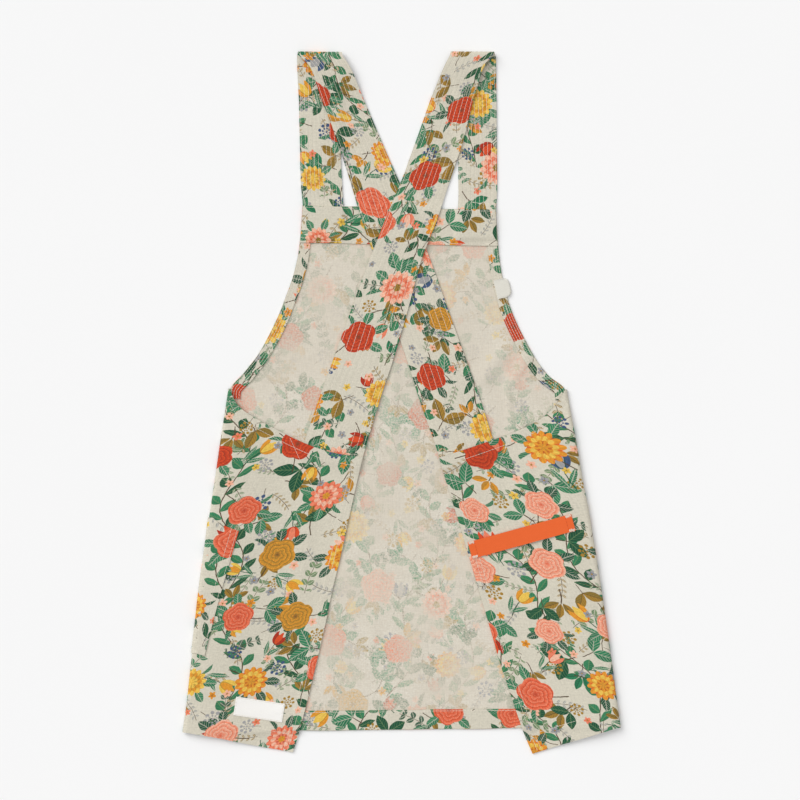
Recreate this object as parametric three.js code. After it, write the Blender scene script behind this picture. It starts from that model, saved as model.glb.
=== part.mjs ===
// Cross-back smock apron, laid flat on its front as it is folded for storage.
// Millimetres, +Z up, +Y towards the shoulders, +X to the right as seen from above.
// The origin is under the middle of the smock, on the surface that it lies on.
import * as THREE from "three";

// Walls and clearances
const CANVAS = 1.2; // body, facing, bindings, hem and pocket
const STRAP = 2.0; // two layers of canvas quilted together
const TAPE = 1.4; // towel loop
const RIBBON = 1.0; // label and side tab
const GAP = 0.3; // air between pieces that lie on each other
const FOLD_GAP = 0.6; // air where the body is parted at its folds
const FACET_GAP = 0.2; // added where a piece lies on the faceted curve of a flap or fold

// Heights of the middle of each wall above the surface
const FRONT_Z = CANVAS / 2;
const BAND_Z = FRONT_Z + CANVAS + GAP; // bindings, hem and facing, on the front
const STRAP_FLOOR_Z = STRAP / 2;
const STRAP_ON_FRONT_Z = CANVAS + GAP + STRAP / 2;
const FACING_ON_STRAP_Z = CANVAS + STRAP + 2 * GAP + CANVAS / 2;

// Folds: the side folds of the body and the shoulder folds of the straps
const SIDE_FOLD_RADIUS = 4.8;
const SHOULDER_FOLD_RADIUS = 2.6;
const FLAP_Z = FRONT_Z + 2 * SIDE_FOLD_RADIUS;
const SMOCK_LENGTH = 948;
const SHOULDER_Y = SMOCK_LENGTH / 2 - STRAP / 2;
const SHOULDER_TOP_Z = STRAP_FLOOR_Z + 2 * SHOULDER_FOLD_RADIUS;

// Bands and trim
const FACING_DEPTH = 51;
const BINDING_WIDTH = 14;
const HEM_DEPTH = 27;
const EDGE_INSET = 0.6; // bands stop this far inside the edge that they finish
const EDGE_SHARE = 0.004; // and this share of the width inside both ends
const BIB_LENGTH = 254;
const BODY_LENGTH = 450;

// Side folds of the body, from the hem (at 0) to the underarm (at 1)
const SIDE_FOLDS = [
  { at: 0.0, leftX: -295, leftY: -449, rightX: 295, rightY: -438 },
  { at: 0.5, leftX: -267.5, leftY: -218, rightX: 262, rightY: -214 },
  { at: 1.0, leftX: -234, leftY: 12, rightX: 222.5, rightY: 9 },
];

// Armhole edges of the bib, from the underarm (at 0) to the bib's top edge (at 1)
const UNDERARM = SIDE_FOLDS[2];
const ARMHOLES = [
  {
    at: 0.0,
    leftX: UNDERARM.leftX + SIDE_FOLD_RADIUS + FOLD_GAP / 2,
    leftY: UNDERARM.leftY,
    rightX: UNDERARM.rightX - SIDE_FOLD_RADIUS - FOLD_GAP / 2,
    rightY: UNDERARM.rightY,
  },
  { at: 0.11, leftX: -213, leftY: 41, rightX: 197, rightY: 38 },
  { at: 0.25, leftX: -188, leftY: 75, rightX: 173, rightY: 72 },
  { at: 0.5, leftX: -159, leftY: 139, rightX: 144, rightY: 136 },
  { at: 0.75, leftX: -139, leftY: 203, rightX: 131, rightY: 199 },
  { at: 1.0, leftX: -134, leftY: 266, rightX: 127, rightY: 260 },
];

// Open back edges of the two flaps, from the hem corner (at 0) to the strap seam (at 1)
const BACK_EDGES = [
  { at: 0.0, leftX: -147.5, leftY: -472, rightX: 176, rightY: -SMOCK_LENGTH / 2 },
  { at: 0.08, leftX: -138.5, leftY: -442, rightX: 163, rightY: -443 },
  { at: 0.81, leftX: -70, leftY: -150, rightX: 73, rightY: -150 },
  { at: 1.0, leftX: -52.5, leftY: -74, rightX: 50, rightY: -74 },
];
const FLAP_TOP_DROP = { left: 16, right: 22 }; // the flap's top edge starts this far under the underarm
const FLAP_TOP_SAG = { left: 12, right: 1 }; // and then dips this far under a straight line
const SAG_SKEW = 1.3; // the dip is deepest a little past the middle of the top edge
const SAG_FADE = 4; // power by which the dip fades down the flap
const FLAP_RISE = { hem: 4.2, seam: 5.4 }; // height of the open edge's middle

// Straps: sections across each strap, from the end under the facing, up over the shoulder,
// and down across the back to the end under the flap. slant is how much higher the right edge is.
const SHOULDER_SECTIONS = {
  start: { y: SHOULDER_Y - SHOULDER_FOLD_RADIUS, z: STRAP_FLOOR_Z },
  top: { y: SHOULDER_Y, z: STRAP_FLOOR_Z + SHOULDER_FOLD_RADIUS },
  end: { y: SHOULDER_Y - SHOULDER_FOLD_RADIUS, z: SHOULDER_TOP_Z },
};
const LEFT_STRAP = [
  { y: 222, z: STRAP_ON_FRONT_Z, leftX: -132, rightX: -79, slant: 0 },
  { y: 266, z: STRAP_ON_FRONT_Z, leftX: -133.5, rightX: -79.5, slant: 0 },
  { y: 292, z: STRAP_FLOOR_Z, leftX: -136, rightX: -81, slant: 0 },
  { y: 380, z: STRAP_FLOOR_Z, leftX: -139, rightX: -84, slant: 0 },
  { ...SHOULDER_SECTIONS.start, leftX: -141, rightX: -83, slant: 0 },
  { ...SHOULDER_SECTIONS.top, leftX: -140, rightX: -82, slant: 0 },
  { ...SHOULDER_SECTIONS.end, leftX: -138, rightX: -80, slant: 0 },
  { y: 414, z: 5.2, leftX: -110, rightX: -54, slant: 0 },
  { y: 349, z: 4.0, leftX: -86, rightX: -26, slant: 0 },
  { y: 240, z: 4.0, leftX: -52, rightX: 20, slant: 2 },
  { y: 190, z: 4.0, leftX: -35, rightX: 38.5, slant: 4 },
  { y: 90, z: 2.7, leftX: -2.7, rightX: 73, slant: 8 },
  { y: 10, z: 2.7, leftX: 24, rightX: 101, slant: 14 },
  { y: -63, z: 2.7, leftX: 50, rightX: 124, slant: 21 },
  { y: -80, z: 2.7, leftX: 55.5, rightX: 129, slant: 21 },
];
const RIGHT_STRAP = [
  { y: 222, z: STRAP_ON_FRONT_Z, leftX: 75, rightX: 126, slant: 0 },
  { y: 261, z: STRAP_ON_FRONT_Z, leftX: 75.5, rightX: 127, slant: 0 },
  { y: 288, z: STRAP_FLOOR_Z, leftX: 76.5, rightX: 128, slant: 0 },
  { y: 380, z: STRAP_FLOOR_Z, leftX: 75, rightX: 127.5, slant: 0 },
  { ...SHOULDER_SECTIONS.start, leftX: 67, rightX: 126, slant: 0 },
  { ...SHOULDER_SECTIONS.top, leftX: 66, rightX: 124.5, slant: 0 },
  { ...SHOULDER_SECTIONS.end, leftX: 64, rightX: 121.5, slant: 0 },
  { y: 414, z: 6.0, leftX: 40.5, rightX: 98, slant: 0 },
  { y: 349, z: 6.4, leftX: 17.6, rightX: 81, slant: 0 },
  { y: 240, z: 6.4, leftX: -24, rightX: 44, slant: -2 },
  { y: 190, z: 6.2, leftX: -45, rightX: 25, slant: -4 },
  { y: 90, z: 5.2, leftX: -79.5, rightX: -2.7, slant: -8 },
  { y: 10, z: 3.0, leftX: -107.5, rightX: -30, slant: -14 },
  { y: -64, z: 2.7, leftX: -132, rightX: -52.5, slant: -19 },
  { y: -81, z: 2.7, leftX: -137.5, rightX: -57.5, slant: -19 },
];

// Patch pocket, wrapped round the left side fold
const POCKET = {
  bottomY: -334,
  topY: -150,
  frontWidth: 130, // its hidden stretch, under the front
  backWidthTop: 34, // its stretch on the flap
  backWidthBottom: 11.5,
};
const POCKET_LIFT = CANVAS + GAP + FACET_GAP; // the front rides over the pocket
const LIFT_PLATEAU = { maxX: -88, minY: -368, maxY: -122 };
const LIFT_RAMP = 30;

// Tape loop on the right flap and blank label on the left flap
const LOOP = { x: 161, y: -180.3, length: 144, height: 23, turn: 15.5, bow: 1.8 };
const BLANK_LABEL = { x: -192.5, y: -413.5, length: 66, height: 25, turn: -8.9, bow: 0 };

// Folded tape tab on the right armhole edge
const TAB = { at: 0.565, width: 26, inside: 13, outside: 9 };

// Mesh density
const FRONT_COLUMNS = 14;
const BODY_ROWS = 18;
const BIB_ROWS = 9;
const FOLD_STEPS = 5;
const FLAP_COLUMNS = 8;
const STRAP_STEPS = 4;
const STRAP_COLUMNS = 2;
const FACING_ROWS = 3;
const FACING_COLUMNS = 40;
const BINDING_STEPS = 16;
const HEM_ROWS = 2;
const HEM_COLUMNS = 16;
const POCKET_ROWS = 6;
const POCKET_FLAP_COLUMNS = 2;
const POCKET_FRONT_COLUMNS = 4;
const TAPE_ROWS = 2;
const TAPE_COLUMNS = 8;
const HALVINGS = 30; // steps of the search for a point's place on a flap
const MERGE = 1000; // points nearer than one part in this of a millimetre are one

const MATERIALS = {
  print: new THREE.MeshStandardMaterial({ color: 0xdcd4c6, roughness: 0.9, metalness: 0 }),
  tape: new THREE.MeshStandardMaterial({ color: 0xe96731, roughness: 0.7, metalness: 0 }),
  ribbon: new THREE.MeshStandardMaterial({ color: 0xe6e4dd, roughness: 0.8, metalness: 0 }),
};

const lerp = THREE.MathUtils.lerp;
const smoothstep = THREE.MathUtils.smoothstep;

// A column of a table at a place along it, on a smooth curve that never overshoots its rows.
function sample(table, column, place) {
  const last = table.length - 1;
  let i = 0;
  while (i < last - 1 && place > table[i + 1].at) i++;
  const slope = (k) => (table[k + 1][column] - table[k][column]) / (table[k + 1].at - table[k].at);
  const tangent = (k) => {
    if (k === 0) return slope(0);
    if (k === last) return slope(last - 1);
    const before = slope(k - 1);
    const after = slope(k);
    return before * after <= 0 ? 0 : (2 * before * after) / (before + after);
  };
  const span = table[i + 1].at - table[i].at;
  const t = (place - table[i].at) / span;
  const from = table[i][column];
  const to = table[i + 1][column];
  const rise = to - from;
  const leave = tangent(i) * span;
  const arrive = tangent(i + 1) * span;
  return from + t * (leave + t * (3 * rise - 2 * leave - arrive + t * (leave + arrive - 2 * rise)));
}

// One side's point of a two-sided table.
function edgePoint(table, side, place) {
  return { x: sample(table, `${side}X`, place), y: sample(table, `${side}Y`, place) };
}

// How far the front is lifted by the pocket under it.
function pocketLift(x, y) {
  const { maxX, minY, maxY } = LIFT_PLATEAU;
  const across = 1 - smoothstep(x, maxX, maxX + LIFT_RAMP);
  const along = smoothstep(y, minY - LIFT_RAMP, minY) * (1 - smoothstep(y, maxY, maxY + LIFT_RAMP));
  return POCKET_LIFT * across * along;
}

// A point of the front below the underarm: u from the left fold to the right, v from the hem up.
function frontPoint(u, v, offset = 0) {
  const left = edgePoint(SIDE_FOLDS, "left", v);
  const right = edgePoint(SIDE_FOLDS, "right", v);
  const inset = SIDE_FOLD_RADIUS + FOLD_GAP / 2;
  const x = lerp(left.x + inset, right.x - inset, u);
  const y = lerp(left.y, right.y, u);
  return new THREE.Vector3(x, y, FRONT_Z + pocketLift(x, y) + offset);
}

// A point of the bib: u from the left armhole to the right, b from the underarm up.
function bibPoint(u, b, offset = 0) {
  const left = edgePoint(ARMHOLES, "left", b);
  const right = edgePoint(ARMHOLES, "right", b);
  return new THREE.Vector3(lerp(left.x, right.x, u), lerp(left.y, right.y, u), FRONT_Z + offset);
}

// A point of a flap: w from the side fold to the open back edge, v from the hem up.
function flapPoint(side, w, v, offset = 0) {
  const inwards = side === "left" ? 1 : -1;
  const fold = edgePoint(SIDE_FOLDS, side, v);
  const edge = edgePoint(BACK_EDGES, side, v);
  const foldX = fold.x + inwards * (SIDE_FOLD_RADIUS + FOLD_GAP / 2);
  const foldY = fold.y - FLAP_TOP_DROP[side] * v;
  const sag = FLAP_TOP_SAG[side] * Math.sin(Math.PI * w ** SAG_SKEW) * v ** SAG_FADE;
  const z = lerp(FLAP_Z, lerp(FLAP_RISE.hem, FLAP_RISE.seam, v), w);
  return new THREE.Vector3(lerp(foldX, edge.x, w), lerp(foldY, edge.y, w) - sag, z + offset);
}

// A point of the half-round side fold: turn from 0 at the front to 1 at the flap. parted is the gap
// that the fold keeps to both, and offset is how far the point lies outside the fold.
function foldPoint(side, turn, v, parted, offset = 0) {
  const outwards = side === "left" ? -1 : 1;
  const start = frontPoint(side === "left" ? 0 : 1, v);
  const end = flapPoint(side, 0, v);
  const bulge = SIDE_FOLD_RADIUS + FOLD_GAP / 2 - parted + offset;
  const radius = (end.z - start.z) / 2 + offset;
  const middle = start.clone().lerp(end, turn);
  middle.x += outwards * (parted + bulge * Math.sin(Math.PI * turn));
  middle.z = (start.z + end.z) / 2 - radius * Math.cos(Math.PI * turn);
  return middle;
}

// A flap's place (w, v) under a point of the plan, found by halving v.
function flapPlace(side, x, y) {
  let low = 0;
  let high = 1;
  const ends = (v) => [flapPoint(side, 0, v), flapPoint(side, 1, v)];
  const share = ([a, b]) => (x - a.x) / (b.x - a.x);
  for (let i = 0; i < HALVINGS; i++) {
    const v = (low + high) / 2;
    const [a, b] = ends(v);
    if (lerp(a.y, b.y, share([a, b])) < y) low = v;
    else high = v;
  }
  return { w: share(ends(low)), v: low };
}

// Rows of points, each row and column spaced evenly from 0 to 1.
function grid(rows, columns, point) {
  const row = (r) => Array.from({ length: columns + 1 }, (_, c) => point(c / columns, r / rows));
  return Array.from({ length: rows + 1 }, (_, r) => row(r));
}

// A closed wall of even thickness round one or more grids of points that share their edges.
function wall(grids, thickness) {
  const points = [];
  const indexOf = new Map();
  const index = (p) => {
    const key = [p.x, p.y, p.z].map((n) => Math.round(n * MERGE)).join();
    if (!indexOf.has(key)) {
      indexOf.set(key, points.length);
      points.push(p);
    }
    return indexOf.get(key);
  };
  const faces = [];
  for (const rows of grids) {
    const ids = rows.map((row) => row.map(index));
    for (let r = 0; r + 1 < ids.length; r++) {
      for (let c = 0; c + 1 < ids[r].length; c++) {
        faces.push([ids[r][c], ids[r][c + 1], ids[r + 1][c + 1]]);
        faces.push([ids[r][c], ids[r + 1][c + 1], ids[r + 1][c]]);
      }
    }
  }
  const middle = new THREE.BufferGeometry().setFromPoints(points);
  middle.setIndex(faces.flat());
  middle.computeVertexNormals();
  const normals = middle.getAttribute("normal");
  const shifted = (side) =>
    points.map((p, i) =>
      p.clone().addScaledVector(new THREE.Vector3().fromBufferAttribute(normals, i), side),
    );
  const solid = new THREE.BufferGeometry().setFromPoints([
    ...shifted(thickness / 2),
    ...shifted(-thickness / 2),
  ]);
  const under = points.length;
  const edges = new Set(faces.flatMap(([a, b, c]) => [`${a},${b}`, `${b},${c}`, `${c},${a}`]));
  const rims = [...edges]
    .map((edge) => edge.split(",").map(Number))
    .filter(([a, b]) => !edges.has(`${b},${a}`));
  solid.setIndex([
    ...faces.flat(),
    ...faces.flatMap(([a, b, c]) => [under + a, under + c, under + b]),
    ...rims.flatMap(([a, b]) => [under + a, under + b, b, under + a, b, a]),
  ]);
  solid.computeVertexNormals();
  return solid;
}

// The body is one cut of canvas, parted at its folds into a front, two side folds and two flaps, so that
// each is a simple wall and the space between the front and the flaps stays open.

// The front and its bib.
function makeFront() {
  const front = grid(BODY_ROWS, FRONT_COLUMNS, (u, v) => frontPoint(u, v));
  const bib = grid(BIB_ROWS, FRONT_COLUMNS, (u, b) => bibPoint(u, b));
  return wall([front, bib], CANVAS);
}

// The half-round fold at one side.
function makeSideFold(side) {
  const turn = (t) => (side === "left" ? 1 - t : t);
  return wall([grid(BODY_ROWS, FOLD_STEPS, (t, v) => foldPoint(side, turn(t), v, FOLD_GAP))], CANVAS);
}

// The flap that is folded over to the back at one side.
function makeFlap(side) {
  const place = (w) => (side === "left" ? w : 1 - w);
  return wall([grid(BODY_ROWS, FLAP_COLUMNS, (w, v) => flapPoint(side, place(w), v))], CANVAS);
}

// The facing inside the bib's top edge, raised where it covers the strap ends.
function makeFacing() {
  const rampStart = 1;
  const rampLength = 16;
  const leftStrapEdge = LEFT_STRAP[0].rightX;
  const rightStrapEdge = RIGHT_STRAP[0].leftX;
  const bottom = 1 - FACING_DEPTH / BIB_LENGTH;
  const top = 1 - EDGE_INSET / BIB_LENGTH;
  const rise = FACING_ON_STRAP_Z - BAND_Z;
  const point = (u, t) => {
    const p = bibPoint(lerp(EDGE_SHARE, 1 - EDGE_SHARE, u), lerp(bottom, top, t));
    const fromStraps = Math.min(p.x - leftStrapEdge, rightStrapEdge - p.x);
    p.z = BAND_Z + rise * (1 - smoothstep(fromStraps, rampStart, rampStart + rampLength));
    return p;
  };
  return wall([grid(FACING_ROWS, FACING_COLUMNS, point)], CANVAS);
}

// The outward direction of an armhole edge, in the plan.
function armholeOutwards(side, b) {
  const step = 0.01;
  const below = edgePoint(ARMHOLES, side, b - step);
  const above = edgePoint(ARMHOLES, side, b + step);
  const outwards = side === "left" ? 1 : -1;
  const run = new THREE.Vector2(above.x - below.x, above.y - below.y).normalize();
  return new THREE.Vector2(-run.y, run.x).multiplyScalar(outwards);
}

// A narrow binding inside one armhole edge, from the underarm to the facing.
function makeBinding(side) {
  const lowest = 0.03; // share of the bib's length above the underarm
  const facingClearance = 2;
  const highest = 1 - (FACING_DEPTH + facingClearance) / BIB_LENGTH;
  const point = (t, along) => {
    const b = lerp(lowest, highest, along);
    const edge = edgePoint(ARMHOLES, side, b);
    const outwards = armholeOutwards(side, b);
    const inset = EDGE_INSET + BINDING_WIDTH * (side === "left" ? t : 1 - t);
    return new THREE.Vector3(edge.x - outwards.x * inset, edge.y - outwards.y * inset, BAND_Z);
  };
  return wall([grid(BINDING_STEPS, 1, point)], CANVAS);
}

// The hem turned up along the front's lower edge, from fold to fold.
function makeHem() {
  const bottom = EDGE_INSET / BODY_LENGTH;
  const top = HEM_DEPTH / BODY_LENGTH;
  const point = (u, t) =>
    frontPoint(lerp(EDGE_SHARE, 1 - EDGE_SHARE, u), lerp(bottom, top, t), BAND_Z - FRONT_Z);
  return wall([grid(HEM_ROWS, HEM_COLUMNS, point)], CANVAS);
}

// A strap: a ribbon through its sections.
function makeStrap(sections) {
  const segments = sections.length - 1;
  const table = sections.map((section, at) => ({ ...section, at }));
  const point = (across, along) => {
    const column = (name) => sample(table, name, along * segments);
    const x = lerp(column("leftX"), column("rightX"), across);
    return new THREE.Vector3(x, column("y") + column("slant") * (across - 0.5), column("z"));
  };
  return wall([grid(segments * STRAP_STEPS, STRAP_COLUMNS, point)], STRAP);
}

// The patch pocket: on the flap, round the left fold and under the front.
function makePocket() {
  const offset = POCKET_LIFT;
  const placeOfY = (y) => (y - SIDE_FOLDS[0].leftY) / (UNDERARM.leftY - SIDE_FOLDS[0].leftY);
  const bottom = placeOfY(POCKET.bottomY);
  const top = placeOfY(POCKET.topY);
  const onFlap = (t, along) => {
    const v = lerp(bottom, top, along);
    const fold = flapPoint("left", 0, v);
    const width = lerp(POCKET.backWidthBottom, POCKET.backWidthTop, along);
    const share = width / (flapPoint("left", 1, v).x - fold.x);
    return flapPoint("left", share * (1 - t), v, offset);
  };
  const roundFold = (t, along) => foldPoint("left", 1 - t, lerp(bottom, top, along), 0, offset);
  const underFront = (t, along) => {
    const v = lerp(bottom, top, along);
    const width = frontPoint(1, v).x - frontPoint(0, v).x;
    return frontPoint((POCKET.frontWidth / width) * t, v, -offset);
  };
  const grids = [
    grid(POCKET_ROWS, POCKET_FLAP_COLUMNS, onFlap),
    grid(POCKET_ROWS, FOLD_STEPS, roundFold),
    grid(POCKET_ROWS, POCKET_FRONT_COLUMNS, underFront),
  ];
  return wall(grids, CANVAS);
}

// A flat tape laid on a flap, bowed up between its sewn ends.
function makeTape(side, tape, thickness) {
  const turn = THREE.MathUtils.degToRad(tape.turn);
  const point = (u, t) => {
    const along = (u - 0.5) * tape.length;
    const across = (t - 0.5) * tape.height;
    const x = tape.x + along * Math.cos(turn) - across * Math.sin(turn);
    const y = tape.y + along * Math.sin(turn) + across * Math.cos(turn);
    const { w, v } = flapPlace(side, x, y);
    const seat = CANVAS / 2 + GAP + FACET_GAP + thickness / 2;
    const lift = seat + tape.bow * Math.sin(Math.PI * u) ** 2;
    return new THREE.Vector3(x, y, flapPoint(side, w, v).z + lift);
  };
  return wall([grid(TAPE_ROWS, TAPE_COLUMNS, point)], thickness);
}

// The tab: a short tape on the binding, folded under just outside the armhole edge.
function makeTab() {
  const edge = edgePoint(ARMHOLES, "right", TAB.at);
  const outwards = armholeOutwards("right", TAB.at);
  const upperZ = BAND_Z + CANVAS / 2 + GAP + RIBBON / 2;
  const lowerZ = RIBBON / 2;
  const radius = (upperZ - lowerZ) / 2;
  const turnAt = TAB.outside - radius - RIBBON / 2;
  const lowerEnd = 1.5;
  const section = [
    { out: -TAB.inside, z: upperZ },
    { out: turnAt, z: upperZ },
    { out: turnAt + radius * Math.SQRT1_2, z: (upperZ + lowerZ) / 2 + radius * Math.SQRT1_2 },
    { out: turnAt + radius, z: (upperZ + lowerZ) / 2 },
    { out: turnAt + radius * Math.SQRT1_2, z: (upperZ + lowerZ) / 2 - radius * Math.SQRT1_2 },
    { out: turnAt, z: lowerZ },
    { out: lowerEnd, z: lowerZ },
  ];
  const point = (t, along) => {
    const { out, z } = section[Math.round(t * (section.length - 1))];
    const run = (along - 0.5) * TAB.width;
    const x = edge.x + outwards.x * out - outwards.y * run;
    return new THREE.Vector3(x, edge.y + outwards.y * out + outwards.x * run, z);
  };
  return wall([grid(TAPE_ROWS, section.length - 1, point)], RIBBON);
}

const smock = new THREE.Group();
smock.name = "smock";

function addPiece(name, geometry, material) {
  const mesh = new THREE.Mesh(geometry, material);
  mesh.name = name;
  smock.add(mesh);
}

addPiece("front_panel", makeFront(), MATERIALS.print);
addPiece("side_fold_left", makeSideFold("left"), MATERIALS.print);
addPiece("side_fold_right", makeSideFold("right"), MATERIALS.print);
addPiece("flap_left", makeFlap("left"), MATERIALS.print);
addPiece("flap_right", makeFlap("right"), MATERIALS.print);
addPiece("bib_facing", makeFacing(), MATERIALS.print);
addPiece("armhole_binding_left", makeBinding("left"), MATERIALS.print);
addPiece("armhole_binding_right", makeBinding("right"), MATERIALS.print);
addPiece("bottom_hem", makeHem(), MATERIALS.print);
addPiece("strap_left", makeStrap(LEFT_STRAP), MATERIALS.print);
addPiece("strap_right", makeStrap(RIGHT_STRAP), MATERIALS.print);
addPiece("side_pocket", makePocket(), MATERIALS.print);
addPiece("towel_loop", makeTape("right", LOOP, TAPE), MATERIALS.tape);
addPiece("label", makeTape("left", BLANK_LABEL, RIBBON), MATERIALS.ribbon);
addPiece("side_tab", makeTab(), MATERIALS.ribbon);

export default smock;
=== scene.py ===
import math
from collections import namedtuple

import bmesh
import bpy
import numpy as np
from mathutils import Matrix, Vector


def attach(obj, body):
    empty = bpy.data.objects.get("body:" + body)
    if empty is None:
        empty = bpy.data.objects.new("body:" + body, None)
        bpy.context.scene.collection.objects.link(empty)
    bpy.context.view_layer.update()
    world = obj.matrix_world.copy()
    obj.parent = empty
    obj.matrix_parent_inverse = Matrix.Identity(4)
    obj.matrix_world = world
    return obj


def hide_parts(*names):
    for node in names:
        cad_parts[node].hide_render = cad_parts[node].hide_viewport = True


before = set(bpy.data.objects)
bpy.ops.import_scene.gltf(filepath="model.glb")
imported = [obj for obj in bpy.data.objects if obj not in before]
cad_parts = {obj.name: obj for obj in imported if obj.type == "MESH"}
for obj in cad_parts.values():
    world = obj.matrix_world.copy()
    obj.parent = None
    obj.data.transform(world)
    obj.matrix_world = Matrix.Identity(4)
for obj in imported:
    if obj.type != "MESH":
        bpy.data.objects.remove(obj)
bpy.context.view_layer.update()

# The smock lies on its front with its sides folded over to the back. Metres, +Z up, +Y to the shoulders.
# Each sheet is laid in turn on the pile of cloth below it, from the pocket up to the loop and label.

SIDES = ("left", "right")

# Camera, straight down on the table
PICTURE_WIDTH = 1.08  # table across the picture
CAMERA_HEIGHT = 3.2
CAMERA_PLACE = (-0.0027, 0.0034)
SENSOR = 36.0  # millimetres

# Light and floor
FLOOR_SIZE = 400.0
SKY_STRENGTH = 0.41
Lamp = namedtuple("Lamp", "name strength angle direction")
LAMPS = [
    Lamp("window", 1.6, 0.7, (0.92, -0.80, -1.0)),
    Lamp("ceiling", 0.97, 1.3, (0.1, -0.1, -1.0)),
]

# Thickness of the cloth
CANVAS = 0.0012
TURNED_EDGE = 0.0021  # canvas with its edge turned under
STRAP_RIDGE = 0.0024  # strap between two sewn rows
STRAP_ROW = 0.0018  # strap at a sewn row
TAPE = 0.0014
RIBBON = 0.0009
LAYER_GAP = 0.0002
TURN_STEP = 0.002  # width of the step where a turned edge ends
ROW_PULL = 0.0005  # how much a sewn row pulls a flap thin
ROW_PULL_WIDTH = 0.0012
ROW_THINNEST = 0.8  # least share of the canvas that is left at a sewn row

# Folds and lengths
SIDE_FOLD_RADIUS = 0.0051
SIDE_FOLD_TOP = 0.0098  # middle of the canvas on top of a side fold
SHOULDER_LINE = 0.4676  # where a strap starts to roll over
SHOULDER_ROLL = 0.0044  # how far the roll stands out beyond that line
SHOULDER_TOP = 0.0104  # middle of the strap on top of the roll
SHOULDER_LIFT = 0.0012  # how far the front run lifts off the table at the roll
SHOULDER_LIFT_RUN = 0.035
SHOULDER_SETTLE = 0.08  # length in which the strap comes down from the roll
STRAP_LOOSE_FROM = 0.3  # share of that length after which the strap wrinkles freely
FOLD_TOP_FROM = 0.90  # share of the body's length above which the side folds flatten
FOLD_TOP_FLATTENED = 0.62
FLAP_SETTLE = 0.115  # width in which a flap comes down from its side fold
BODY_LENGTH = 0.456
BIB_LENGTH = 0.254
FACING_DEPTH = 0.051
BINDING_WIDTH = 0.014
HEM_DEPTH = 0.027
BAND_INSET = 0.0006  # bands stop this far inside the edge that they finish
FACING_SIDE_GAP = 0.004  # share of the bib's width left free at each end
HEM_SIDE_GAP = 0.003  # share of the front's width left free at each end

# Side folds, from the hem (at 0) to the underarm (at 1)
Edge = namedtuple("Edge", "at left_x left_y right_x right_y")
SIDE_FOLDS = [
    Edge(0.0, -0.2950, -0.4440, 0.2950, -0.4385),
    Edge(0.5, -0.2675, -0.218, 0.2620, -0.214),
    Edge(1.0, -0.2335, 0.0185, 0.2220, 0.0175),
]
FOLD_TOP_RADIUS = SIDE_FOLD_RADIUS * (1 - FOLD_TOP_FLATTENED)
UNDERARM = SIDE_FOLDS[-1]
# Armhole edges of the bib, from the underarm to the bib's top
ARMHOLES = [
    Edge(
        0.00,
        UNDERARM.left_x + FOLD_TOP_RADIUS,
        UNDERARM.left_y,
        UNDERARM.right_x - FOLD_TOP_RADIUS,
        UNDERARM.right_y,
    ),
    Edge(0.11, -0.213, 0.041, 0.197, 0.038),
    Edge(0.25, -0.188, 0.075, 0.173, 0.072),
    Edge(0.50, -0.159, 0.139, 0.144, 0.136),
    Edge(0.75, -0.139, 0.203, 0.131, 0.199),
    Edge(1.00, -0.134, 0.266, 0.127, 0.260),
]
# The bindings run on past the underarm, along the side folds
BINDING_EDGE = [
    Edge(-0.06, -0.2331, 0.003, 0.2218, 0.001),
    Edge(-0.02, -0.2326, 0.0135, 0.2212, 0.0120),
    *ARMHOLES,
]
BINDING_LOW = -0.05  # where the bindings start and end, on the same scale
BINDING_HIGH = 0.807
# Open back edges of the flaps, from the hem corner to the strap seam
BACK_EDGES = [
    Edge(0.00, -0.1475, -0.472, 0.176, -0.474),
    Edge(0.08, -0.1385, -0.442, 0.163, -0.443),
    Edge(0.81, -0.070, -0.150, 0.073, -0.150),
    Edge(1.00, -0.0525, -0.074, 0.050, -0.074),
]
# Top edges of the flaps: a quick drop beside the fold, then a sag, both fading towards the hem
FLAP_TOP_DROP = {"left": 0.022, "right": 0.033}
FLAP_DROP_SHARE = {"left": 0.04, "right": 0.12}
FLAP_TOP_SAG = {"left": 0.012, "right": 0.001}
SAG_SKEW = 1.3
DROP_FADE = 3
SAG_FADE = 4

# Slack of the flaps
FOLD_WAVE = 0.09  # unevenness of a side fold's height, as a share of it
FOLD_WAVE_LENGTH = 0.17  # as a share of the body's length
SLACK_FROM = 0.03  # distance from the side fold after which a flap wrinkles freely
SLACK_TAKEN_UP = 0.7  # share of the wrinkles' height that is gone at the open edge
SLACK_EDGE = (0.5, 0.95)  # shares of a flap's width between which it goes
EDGE_WAVE = 0.0008  # how far the open edge lifts here and there
EDGE_WAVE_LENGTH = 0.09  # as a share of the body's length
EDGE_WAVE_FROM = 0.75  # share of a flap's width from which it lifts

# Soft lines left in the front by its last folding
Crease = namedtuple("Crease", "x0 y0 x1 y1 height width")
FRONT_CREASES = [
    Crease(-0.009, 0.120, -0.012, -0.120, 0.0009, 0.006),
    Crease(0.096, 0.016, 0.152, 0.089, 0.0030, 0.012),
    Crease(0.140, 0.014, 0.178, 0.075, 0.0020, 0.008),
    Crease(0.139, 0.042, 0.151, -0.058, 0.0016, 0.0048),
    Crease(0.155, 0.024, 0.166, -0.062, 0.0015, 0.0048),
    Crease(-0.100, -0.230, 0.100, -0.224, 0.0007, 0.006),
    Crease(-0.020, -0.180, -0.052, -0.400, 0.0006, 0.007),
]
CREASE_ENDS = (-0.05, 0.3, 0.7, 1.05)  # shares of a line's length between which it rises, and then fades

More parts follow.
